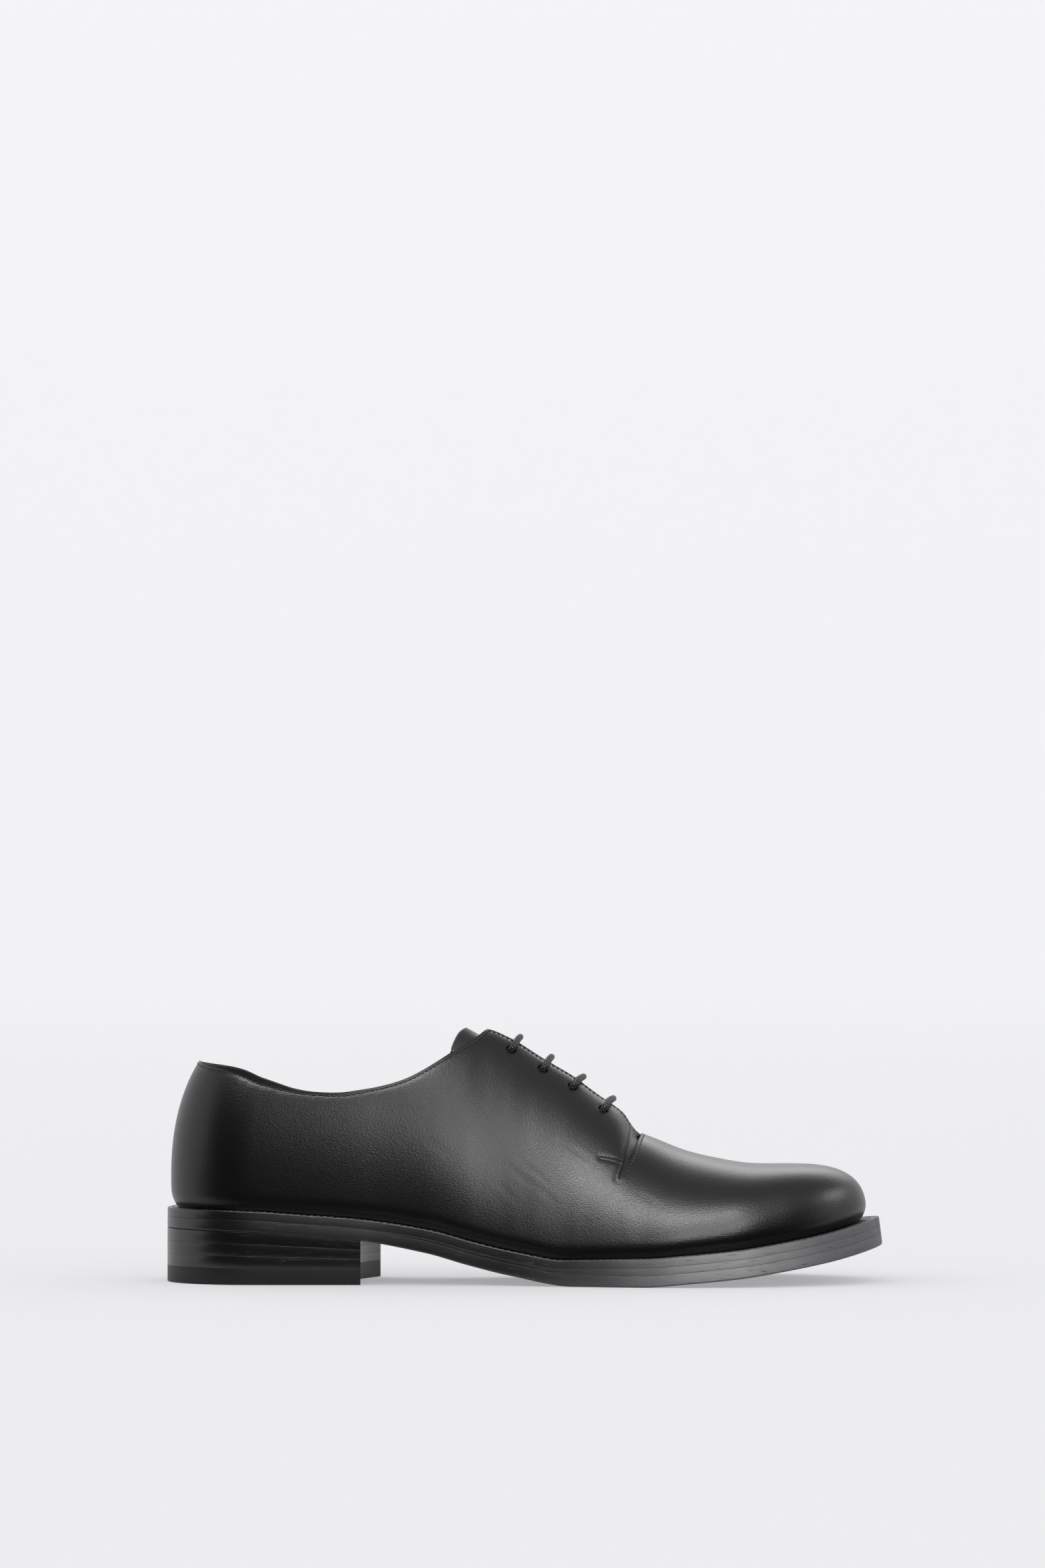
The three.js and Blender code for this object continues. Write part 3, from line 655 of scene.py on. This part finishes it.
# One layer of leather: its cut edge is rounded, and it is closed all round
def add_skin(bm, step, back_from_edge, outer_up, thickness, rounding, grooved):
    columns, rows = skin_grid(step)
    cut = []
    for side in (-1, 1):
        quarter, vamp = quarters[side]
        line = evened(np.concatenate([quarter, vamp]), min(step, 0.8))
        line = beside(line, -side * (rounding + back_from_edge))
        line[0, 0] = 0
        cut.append(line if side < 0 else line[::-1])
    cut = np.concatenate(cut)
    cut[-1] = cut[0] * [1, -1]
    top_v = cut[-1, 1]
    low_rows = rows[rows > top_v + 0.5 * (rows[-1] - rows[-2])]
    edges_back = np.stack([0 * low_rows, low_rows], -1)
    sole_inner = np.stack([columns[1:], 0 * columns[1:] + 1], -1)
    toe = np.stack([0 * rows[1:-1] + 1, rows[-2:0:-1]], -1)
    sole_outer = np.stack([columns[::-1], 0 * columns - 1], -1)
    edges_front = np.stack([0 * low_rows[:-1], -low_rows[-2::-1]], -1)
    outline = np.concatenate([cut, edges_back, sole_inner, toe, sole_outer, edges_front])
    eyelets = [end for bar in bars for end in bar[:2]]
    hole_radius = eyelet_diameter / 2 + rounding + back_from_edge
    holes = [circle_on_last(end, hole_radius, 24) for end in eyelets]
    lines = []
    if grooved:
        for line in stitch_lines:
            lines += [line, beside(line, 0.5), beside(line, -0.5)]
    grid = np.stack(np.meshgrid(columns[1:-1], rows[1:-1]), -1).reshape(-1, 2)
    fixed = np.concatenate([cut, *holes, *lines])
    scaled = outline * pattern_scale
    grid = grid[inside(grid * pattern_scale, scaled)]
    grid = grid[distances(on_last(grid), on_last(fixed)) > 0.55 * step]
    parts = [outline, *holes, *[l[inside(l * pattern_scale, scaled)] for l in lines], grid]
    uv = np.concatenate(parts)
    links, first = [], 0
    for part in parts[: 1 + len(holes)]:
        links += [(first + k, first + (k + 1) % len(part)) for k in range(len(part))]
        first += len(part)
    filled = delaunay_2d_cdt([Vector(p) for p in uv * pattern_scale], links, [], 1, 1e-7)
    uv = np.array([tuple(p) for p in filled[0]]) / pattern_scale
    origin = [o[0] if o else -1 for o in filled[3]]
    triangles = np.array(filled[2])
    spots = on_last(uv[triangles].mean(1))
    keep = np.ones(len(triangles), bool)
    for end in eyelets:
        centre = last(end[:1], end[1:])[0]
        keep &= np.linalg.norm(spots - centre, axis=1) > eyelet_diameter / 2 + 0.5 * rounding
    triangles = triangles[keep]
    low = skin_height(uv) if grooved else np.zeros(len(uv))
    normal = frame_on_last(uv[:, 0], uv[:, 1])[2]
    ground = on_last(uv)
    tops = ground + normal * (outer_up + low)[:, None]
    bottoms = ground + normal * (outer_up - thickness)
    top = [bm.verts.new(p) for p in in_metres(tops)]
    bottom = [bm.verts.new(p) for p in in_metres(bottoms)]
    for a, b, c in triangles:
        bm.faces.new((top[a], top[b], top[c]))
        bm.faces.new((bottom[c], bottom[b], bottom[a]))
    at = {o: i for i, o in enumerate(origin) if o >= 0}

    def wall(chain, closed, outward, rounded=True):
        chain = [at[i] for i in chain]
        ways = np.roll(ground[chain], -1, 0) - np.roll(ground[chain], 1, 0)
        if not closed:
            ways[0], ways[-1] = ground[chain[1]] - ground[chain[0]], ground[chain[-1]] - ground[chain[-2]]
        out = np.cross(ways, normal[chain]) * outward
        out /= np.linalg.norm(out, axis=1, keepdims=True)
        rings = [[top[i] for i in chain]]
        if rounded:
            turns = [math.radians(t) for t in (30, 60, 90)]
            small = 0.6 * rounding
            levels = [(rounding * math.sin(t), -rounding * (1 - math.cos(t))) for t in turns]
            levels += [
                (rounding - small * (1 - math.cos(t)), small * (1 - math.sin(t)) - thickness)
                for t in (0, *turns)
            ]
            for way, up in levels:
                ring = ground[chain] + out * way + normal[chain] * (outer_up + up)
                rings.append([bm.verts.new(p) for p in in_metres(ring)])
        rings.append([bottom[i] for i in chain])
        count = len(chain)
        for high, low_ring in zip(rings, rings[1:]):
            for k in range(count if closed else count - 1):
                n = (k + 1) % count
                bm.faces.new((high[k], high[n], low_ring[n], low_ring[k]))

    wall(range(len(cut)), False, 1)
    first = len(cut) + len(edges_back) - 1
    wall(range(first, first + len(sole_inner) + 1), False, 1, rounded=False)
    first += len(sole_inner) + 1 + len(toe)
    wall(range(first, first + len(sole_outer)), False, 1, rounded=False)
    first = len(outline)
    for hole in holes:
        wall(range(first, first + len(hole)), True, -1)
        first += len(hole)


# Box calf, dyed through and waxed: deep black, with a soft broad gloss that the grain breaks up
pebble_width, fold_width = 0.588, 0.667
box_calf, tree = new_material("black box calf")
place = add_node(tree, "ShaderNodeTexCoord")
slant = add_node(tree, "ShaderNodeMapping", {
    "Vector": place.outputs["Object"], "Rotation": (0, 0.8, 0), "Scale": (0.8, 1, 1.1),
})
pebble = add_node(tree, "ShaderNodeTexVoronoi", {
    "Vector": slant.outputs[0], "Scale": 1000 / pebble_width,
})
fold = add_node(tree, "ShaderNodeTexNoise", {
    "Vector": slant.outputs[0], "Scale": 1000 / fold_width, "Detail": 3.0, "Roughness": 0.6,
})
height = add_node(tree, "ShaderNodeMath", {
    0: pebble.outputs["Distance"], 1: fold.outputs[0],
}, operation="ADD")
bump = add_node(tree, "ShaderNodeBump", {
    "Height": height.outputs[0], "Distance": 5.5e-5, "Strength": 0.8,
})
shade = add_node(tree, "ShaderNodeBsdfPrincipled", {
    "Base Color": linear("#050506"), "Roughness": 0.34, "Normal": bump.outputs["Normal"],
})
add_node(tree, "ShaderNodeOutputMaterial", {"Surface": shade.outputs[0]})

bm = bmesh.new()
add_skin(bm, cell, 0.0, 0.0, calf_thickness, cut_rounding, True)
finished("upper_box_calf", bm, box_calf, ["upper"], "calf", 60)


# Lining: thin calf inside the upper, cut a hair short of the cut edge and stitched to it there.
# The eyelets are punched through it too
glue_gap = 0.04
lining_cell, lining_back, lining_rounding = 2.6, 0.2, 0.2

# Undressed calf: matt and open-pored, a dark wall inside the collar
pore_width = 1.11
lining_calf, tree = new_material("matt lining calf")
place = add_node(tree, "ShaderNodeTexCoord")
pores = add_node(tree, "ShaderNodeTexNoise", {
    "Vector": place.outputs["Object"], "Scale": 1000 / pore_width, "Detail": 4.0,
})
bump = add_node(tree, "ShaderNodeBump", {
    "Height": pores.outputs[0], "Distance": 6e-5, "Strength": 0.5,
})
shade = add_node(tree, "ShaderNodeBsdfPrincipled", {
    "Base Color": linear("#1c1b1b"), "Roughness": 0.62, "Normal": bump.outputs["Normal"],
})
add_node(tree, "ShaderNodeOutputMaterial", {"Surface": shade.outputs[0]})

bm = bmesh.new()
lining_thickness = upper_wall - calf_thickness - glue_gap
add_skin(
    bm, lining_cell, lining_back, -calf_thickness - glue_gap, lining_thickness, lining_rounding, False,
)
finished("lining", bm, lining_calf, None, "calf", 60)


# Stitches: a lockstitch of waxed thread, 12 to the inch, pulled into a shallow groove beside each
# cut edge. Every stitch is its own short thread that dips into the leather at both ends
thread_radius, stitch_pitch, stitch_rise, thread_sunk = 0.27, 2.05, 0.16, 0.06
thread_sides, thread_rings = 6, 6


def add_tube(bm, path, radii, sides):
    ways = np.gradient(path, axis=0)
    ways /= np.linalg.norm(ways, axis=1, keepdims=True)
    across = np.cross(ways, [0.0, 0.0, 1.0] if abs(ways[0, 2]) < 0.9 else [0.0, 1.0, 0.0])
    across /= np.linalg.norm(across, axis=1, keepdims=True)
    other = np.cross(ways, across)
    turns = np.linspace(0, 2 * np.pi, sides, endpoint=False)
    rings = []
    for spot, a, b, radius in zip(path, across, other, radii):
        ring = spot + radius * (np.cos(turns)[:, None] * a + np.sin(turns)[:, None] * b)
        rings.append([bm.verts.new(p) for p in in_metres(ring)])
    for low, high in zip(rings, rings[1:]):
        for k in range(sides):
            n = (k + 1) % sides
            bm.faces.new((low[k], low[n], high[n], high[k]))
    bm.faces.new(rings[0][::-1])
    bm.faces.new(rings[-1])


def add_stitches(bm, spots, normals, pitch, radius, rise, slant=0.12):
    run = run_along(spots)
    count = round(run[-1] / pitch)
    pitch = run[-1] / count
    shares = np.linspace(0.06, 0.94, thread_rings)
    arc = np.sin(np.pi * np.linspace(0, 1, thread_rings))
    lifts = rise * arc**0.5 - radius * 0.9 * (1 - arc**0.4)
    radii = radius * np.array([0.45, 0.9, 1, 1, 0.9, 0.45])
    for k in range(count):
        at = (k + shares) * pitch
        path = np.stack([np.interp(at, run, spots[:, i]) for i in range(3)], -1)
        normal = np.stack([np.interp(at, run, normals[:, i]) for i in range(3)], -1)
        way = path[-1] - path[0]
        side = np.cross(way / np.linalg.norm(way), normal[2])
        lean = (shares - 0.5)[:, None] * side * slant * pitch
        add_tube(bm, path + normal * lifts[:, None] + lean, radii, thread_sides)


# Linen thread drawn through wax: each stitch catches a small bright point of light
thread_fibre = 0.25
waxed_thread, tree = new_material("waxed linen thread")
place = add_node(tree, "ShaderNodeTexCoord")
fibre = add_node(tree, "ShaderNodeTexNoise", {
    "Vector": place.outputs["Object"], "Scale": 1000 / thread_fibre, "Detail": 2.0,
})
bump = add_node(tree, "ShaderNodeBump", {
    "Height": fibre.outputs[0], "Distance": 6e-5, "Strength": 0.6,
})
shade = add_node(tree, "ShaderNodeBsdfPrincipled", {
    "Base Color": linear("#1a1a1c"), "Roughness": 0.28, "Normal": bump.outputs["Normal"],
})
add_node(tree, "ShaderNodeOutputMaterial", {"Surface": shade.outputs[0]})

bm = bmesh.new()
for line in stitch_lines:
    normals = frame_on_last(line[:, 0], line[:, 1])[2]
    spots = on_last(line) - normals * (groove_depth - thread_sunk)
    add_stitches(bm, spots, normals, stitch_pitch, thread_radius, stitch_rise)
finished("upper_stitches", bm, waxed_thread, None, "calf", 60)


# Tongue: matt black calf with a cut edge, sewn under the vamp. Its wings reach down inside the
# quarters and fill the wedge between quarter and vamp on each side
tongue_thickness, tongue_ease = 1.8, 0.7
tongue_top, tongue_front = 0.402, 0.71
tongue_rows = np.array([[0.402, 0.29], [0.56, 0.33], [0.62, 0.6], [0.71, 0.62]])
tongue_length, tongue_width, tongue_rounding = 92.0, 60.0, 0.7
tongue_slant = 0.0105
flare_height, flare_length = 2.4, 7
dip_depth, dip_length = 1.5, 26
swell_height, swell_edge, swell_start = 2.1, 1.3, 8


# Steps over a sheet with rounded edges, closer together at its two ends
def rounded_steps(length, step, rounding):
    near = rounding * np.array([0, 0.08, 0.3, 0.62, 1.0])
    inner = np.linspace(rounding, length - rounding, max(3, round((length - 2 * rounding) / step)))
    return np.concatenate([near[:-1], inner, length - near[-2::-1]]) / length


def rounded_drop(share, length, rounding):
    away = np.minimum(np.minimum(share, 1 - share) * length, rounding)
    return 1 - np.sqrt(np.maximum(0, 1 - (1 - away / rounding) ** 2))


# The same calf unwaxed: a duller black than the quarters round it
nap_width = 0.769
matt_calf, tree = new_material("matt black calf")
place = add_node(tree, "ShaderNodeTexCoord")
nap = add_node(tree, "ShaderNodeTexNoise", {
    "Vector": place.outputs["Object"], "Scale": 1000 / nap_width, "Detail": 4.0,
})
bump = add_node(tree, "ShaderNodeBump", {"Height": nap.outputs[0], "Distance": 1e-4, "Strength": 0.5})
shade = add_node(tree, "ShaderNodeBsdfPrincipled", {
    "Base Color": linear("#101011"), "Roughness": 0.42, "Normal": bump.outputs["Normal"],
})
add_node(tree, "ShaderNodeOutputMaterial", {"Surface": shade.outputs[0]})

crest_u = np.linspace(0, 1, 4001)
crest_x = last(crest_u, 0 * crest_u)[:, 0]
ends = np.interp([tongue_top * sole_length, tongue_front * sole_length], crest_x, crest_u)
down = rounded_steps(tongue_length, 1.6, tongue_rounding)
wide = rounded_steps(tongue_width, 1.4, tongue_rounding)
share_down, share_wide = np.meshgrid(down, wide, indexing="ij")
off_middle = 2 * share_wide - 1
begin = ends[0] + tongue_slant * (1 - np.abs(off_middle))
u = begin + (ends[1] - begin) * share_down
half = follow(tongue_rows, 1, np.interp(u, crest_u, crest_x) / sole_length)
v = half * off_middle
drop = np.maximum(
    rounded_drop(share_down, tongue_length, tongue_rounding),
    rounded_drop(share_wide, tongue_width, tongue_rounding),
)
outer_up = -upper_wall - tongue_ease
# Where nothing covers it, the padded leather swells up between the cut edges
opening = np.concatenate([*quarters[-1], quarters[1][1][::-1], quarters[1][0][::-1]])
flat = np.stack([u.ravel(), v.ravel()], -1)
spots = on_last(flat)
open_here = inside(flat * pattern_scale, opening * pattern_scale)
away = distances(spots, on_last(opening))
behind = np.clip((spots[:, 0] - quarter_peak * sole_length) / swell_start, 0, 1)
swell = swell_height * open_here * behind * (1 - np.exp(-((away / swell_edge) ** 2)))
swell = swell.reshape(u.shape)
# Its end stands up in the middle, behind a shallow dip where the laces hold it down
length = share_down * tongue_length
flare = (1 - np.abs(off_middle)) ** 2
curl = flare_height * np.clip(1 - length / flare_length, 0, 1) * flare
curl = curl - dip_depth * np.clip(1 - length / dip_length, 0, 1)
bm = bmesh.new()
for side in (0, 1):
    up = outer_up + swell + curl - tongue_thickness * (side + (0.5 - side) * drop)
    spots = off_last(u, v, up)
    grid = [bm.verts.new(p) for p in in_metres(spots)]
    row = len(wide)
    for i in range(len(down) - 1):
        for j in range(row - 1):
            k = i * row + j
            bm.faces.new((grid[k], grid[k + 1], grid[k + 1 + row], grid[k + row]))
finished("tongue_with_wings", bm, matt_calf, ["tongue"], "tongue_leather", 60)


# Welt: a strip of 3.4 mm oak-bark leather, sewn to the insole and laid all the way round.
# Its edge is trimmed with the sole's, inked black and burnished with hot wax
welt_width = 13.0
close_joint = 0.03
cut_edge, trimmed_edge = 0.07, 0.4


# Inked leather edge, burnished smooth at the heel. Towards the ball the flexing opens its fibres
# and layers, so it turns rougher there, and grey in its high spots. The grey towards the ball is
# also painted sheen, a lighter colour where the light falls on the forepart's edge
edge_fibre, layer_length, layer_height = 0.625, 5.88, 0.385
edge_ink, tree = new_material("inked and waxed sole edge")
place = add_node(tree, "ShaderNodeTexCoord")
apart = add_node(tree, "ShaderNodeSeparateXYZ", {"Vector": place.outputs["Object"]})
forepart = add_node(tree, "ShaderNodeMapRange", {
    0: apart.outputs["X"], 1: -0.01, 2: 0.06, 3: 0.12, 4: 1.0,
})
fibre = add_node(tree, "ShaderNodeTexNoise", {
    "Vector": place.outputs["Object"], "Scale": 1000 / edge_fibre, "Detail": 3.0, "Roughness": 0.8,
})
stretch = add_node(tree, "ShaderNodeMapping", {
    "Vector": place.outputs["Object"],
    "Scale": (1000 / layer_length, 1000 / layer_length, 1000 / layer_height),
})
layers = add_node(tree, "ShaderNodeTexNoise", {"Vector": stretch.outputs[0], "Scale": 1.0, "Detail": 4.0})
cracks = add_node(tree, "ShaderNodeMapRange", {0: layers.outputs[0], 1: 0.3, 2: 0.35, 3: -1.0, 4: 0.0})
height = add_node(tree, "ShaderNodeMath", {0: fibre.outputs[0], 1: cracks.outputs[0]}, operation="ADD")
height = add_node(tree, "ShaderNodeMath", {
    0: height.outputs[0], 1: forepart.outputs[0],
}, operation="MULTIPLY")
bump = add_node(tree, "ShaderNodeBump", {"Height": height.outputs[0], "Distance": 1.4e-4, "Strength": 0.9})
gloss = add_node(tree, "ShaderNodeMapRange", {0: forepart.outputs[0], 1: 0.12, 2: 1.0, 3: 0.3, 4: 0.5})
specks = add_node(tree, "ShaderNodeMapRange", {0: height.outputs[0], 1: 0.2, 2: 0.5, 3: 0.1, 4: 1.0})
# Painted sheen and wear: grey mixed into the ink towards the ball, most on the high spots
sheen_and_wear = add_node(tree, "ShaderNodeMath", {
    0: forepart.outputs[0], 1: specks.outputs[0],
}, operation="MULTIPLY")
tone = add_node(tree, "ShaderNodeMix", {
    0: sheen_and_wear.outputs[0], 6: linear("#060606"), 7: linear("#232325"),
}, data_type="RGBA")
shade = add_node(tree, "ShaderNodeBsdfPrincipled", {
    "Base Color": tone.outputs[2], "Roughness": gloss.outputs[0], "Specular IOR Level": 0.7,
    "Normal": bump.outputs["Normal"],
})
add_node(tree, "ShaderNodeOutputMaterial", {"Surface": shade.outputs[0]})

loop = even_loop(560)
bm = bmesh.new()
rings = []


def welt_underside(x):
    return welt_base(x) + close_joint - seam


profile = edge_profile(welt_underside, welt_top, cut_edge, trimmed_edge)
for deep, level, up in [(welt_width, welt_underside, 0), *profile, (welt_width, welt_top, 0)]:
    spot = rim(loop, np.full(len(loop), deep))
    rings.append(on_sole(spot[:, 0], spot[:, 1], level(spot[:, 0]) + up))
add_rings(bm, [*rings, rings[0]])
finished("welt_strip", bm, edge_ink, ["welt"], "sole_edge")

# The outsole's stitches show on top of the welt, nine to the inch, in waxed thread
welt_stitch_inset, welt_stitch_pitch, welt_thread_radius, welt_stitch_rise = 1.9, 2.8, 0.26, 0.02
row = even_loop(900)
spot = rim(row, np.full(len(row), welt_stitch_inset))
spots = on_sole(spot[:, 0], spot[:, 1], welt_top(spot[:, 0]))
bm = bmesh.new()
upright = np.tile([0.0, 0.0, 1.0], (len(spots), 1))
add_stitches(bm, spots, upright, welt_stitch_pitch, welt_thread_radius, welt_stitch_rise)
finished("welt_stitches", bm, waxed_thread, None, "sole_edge", 60)


# Midsole: 2.9 mm leather, glued between welt and outsole. It is full at the ball and skived to a
# feather edge towards the heel, which closes the joint in the waist
midsole_start = 0.1
start = math.acos(1 - 2 * midsole_start) / math.pi
part = loop[(loop > start) & (loop < 2 - start)]
bm = bmesh.new()
add_rings(bm, plate_rings(
    part, 0, always(outsole_thickness + close_joint),
    lambda x: welt_base(x) - seam, cut_edge, cut_edge,
))
finished("midsole_leather", bm, edge_ink, ["midsole"], "sole_edge")


# Outsole: 4.8 mm oak-bark leather, moulded to the arch and the toe spring. Its lower corner is
# rounded over by the edge iron, and its underside is plain leather, inked black
ironed_edge = 0.8
bm = bmesh.new()
add_rings(bm, plate_rings(loop, 0, always(0), always(outsole_thickness), ironed_edge, cut_edge))
finished("outsole_leather", bm, edge_ink, ["outsole"], "sole_edge")


# Heel: three thick lifts of stacked leather, glued, nailed and trimmed together, on a top lift of
# rubber. The front face is cut hollow, so its two ends stand forward
top_lift_thickness, lift_count = 6.9, 3
breast_outer, breast_inner, breast_hollow = 0.272, 0.2965, 6.5
lift_edge, worn_edge, moulded_edge = 0.05, 0.35, 0.15


def heel_outline():
    ends = [math.acos(1 - 2 * along) / math.pi for along in (breast_outer, breast_inner)]
    outer = edge(np.linspace(0, ends[0], 90))
    inner = edge(2 - np.linspace(ends[1], 0, 90)[:-1])
    across = np.linspace(0, 1, 40)[1:-1, None]
    front = outer[-1] * (1 - across) + inner[0] * across
    front[:, :1] -= breast_hollow * 4 * across * (1 - across)
    return np.concatenate([outer, front, inner])


def add_lift(bm, low, high, bevel_low, bevel_high, steps=3):
    outline = heel_outline()
    ways = np.roll(outline, -1, 0) - np.roll(outline, 1, 0)
    ways /= np.linalg.norm(ways, axis=1, keepdims=True)
    inward = np.stack([-ways[:, 1], ways[:, 0]], -1)
    centre = outline.mean(0)

    def at(share, deep, level, up):
        spot = outline + inward * deep
        spot = centre + (spot - centre) * (1 - share)
        return np.concatenate([spot, (level(spot[:, 0]) + up)[:, None]], 1)

    shares = (1.0, 0.7, 0.35, 0.08)
    rings = [at(s, bevel_low, low, 0) for s in shares]
    rings += [at(0, *step) for step in edge_profile(low, high, bevel_low, bevel_high, steps)]
    rings += [at(s, bevel_high, high, 0) for s in reversed(shares)]
    add_rings(bm, rings)


def lift_level(k):
    return lambda x: top_lift_thickness + (underside(x) - top_lift_thickness) * k / lift_count


for i in range(lift_count):
    bm = bmesh.new()
    low, high = lift_level(i), lift_level(i + 1)
    add_lift(bm, lambda x: low(x) + close_joint, high, lift_edge, lift_edge)
    finished(f"heel_leather_{i + 1}", bm, edge_ink, [f"heel_lift_{i + 1}"], "heel_leather")

# Moulded rubber with a sanded edge: duller and deeper black than the inked leather above it
speckle_width = 0.556
heel_rubber, tree = new_material("moulded heel rubber")
place = add_node(tree, "ShaderNodeTexCoord")
speckle = add_node(tree, "ShaderNodeTexNoise", {
    "Vector": place.outputs["Object"], "Scale": 1000 / speckle_width, "Detail": 3.0,
})
bump = add_node(tree, "ShaderNodeBump", {
    "Height": speckle.outputs[0], "Distance": 1e-4, "Strength": 0.6,
})
shade = add_node(tree, "ShaderNodeBsdfPrincipled", {
    "Base Color": linear("#080809"), "Roughness": 0.5, "Specular IOR Level": 0.35,
    "Normal": bump.outputs["Normal"],
})
add_node(tree, "ShaderNodeOutputMaterial", {"Surface": shade.outputs[0]})

bm = bmesh.new()
add_lift(bm, always(0), always(top_lift_thickness), worn_edge, moulded_edge)
finished("heel_top_lift", bm, heel_rubber, ["top_lift"], "heel_rubber")


# Lace: a round cotton cord, braided from eight strands over a core and waxed, 2.8 mm thick.
# Each bar comes up through an eyelet, crosses the throat and goes down through the other
lace_diameter = 2.8
bar_shares = (0.05, 0.2, 0.35, 0.5, 0.65, 0.8, 0.95)
strands, braid_pitch, strand_radius = 8, 5.2, 0.46
core_inset, cord_step, weave_height, strand_sunk = 0.45, 0.3, 0.12, 0.1

# Waxed cotton: the strands shine softly along their tops and stay dark between
cotton_fibre = 0.333
waxed_cord, tree = new_material("waxed braided cotton")
place = add_node(tree, "ShaderNodeTexCoord")
fibre = add_node(tree, "ShaderNodeTexNoise", {
    "Vector": place.outputs["Object"], "Scale": 1000 / cotton_fibre, "Detail": 3.0,
})
bump = add_node(tree, "ShaderNodeBump", {
    "Height": fibre.outputs[0], "Distance": 8e-5, "Strength": 0.7,
})
shade = add_node(tree, "ShaderNodeBsdfPrincipled", {
    "Base Color": linear("#121213"), "Roughness": 0.34, "Normal": bump.outputs["Normal"],
    "Sheen Weight": 0.15, "Sheen Roughness": 0.4,
})
add_node(tree, "ShaderNodeOutputMaterial", {"Surface": shade.outputs[0]})


# A place over one bar: its share of the way from eyelet to eyelet, and its height above the leather
def over_bar(bar, share, up):
    outer, inner, top = bar
    spot = outer + (inner - outer) * share
    forward = (top - (outer[0] + inner[0]) / 2) * (1 - (2 * share - 1) ** 2)
    return off_last(spot[0] + forward, spot[1], up)


rest = lace_diameter / 2 + seam
for number, bar in enumerate(bars):
    crossing = [(share, rest) for share in bar_shares]
    stops = [(0, seam - upper_wall), (0, 0), *crossing, (1, 0), (1, seam - upper_wall)]
    route = through([over_bar(bar, share, up) for share, up in stops], 200)
    run = run_along(route)
    at = np.linspace(0, run[-1], round(run[-1] / cord_step))
    path = np.stack([np.interp(at, run, route[:, i]) for i in range(3)], -1)
    ways = np.gradient(path, axis=0)
    ways /= np.linalg.norm(ways, axis=1, keepdims=True)
    across = np.cross(ways, [1.0, 0.0, 0.0])
    across /= np.linalg.norm(across, axis=1, keepdims=True)
    other = np.cross(ways, across)
    bm = bmesh.new()
    add_tube(bm, path, np.full(len(path), lace_diameter / 2 - core_inset), 10)
    for k in range(strands):
        hand = 1 if k % 2 else -1
        turn = hand * 2 * np.pi * at / braid_pitch + 2 * np.pi * (k // 2) / (strands // 2)
        phase = 0 if k % 2 else np.pi
        weave = weave_height * np.cos(strands / 2 * 2 * np.pi * at / braid_pitch + phase)
        out = (lace_diameter / 2 - strand_radius + weave - strand_sunk)[:, None]
        strand = path + out * (np.cos(turn)[:, None] * across + np.sin(turn)[:, None] * other)
        add_tube(bm, strand, np.full(len(path), strand_radius), 6)
    finished(f"lace_braid_{number + 1}", bm, waxed_cord, [f"lace_bar_{number + 1}"], "waxed_cord", 80)
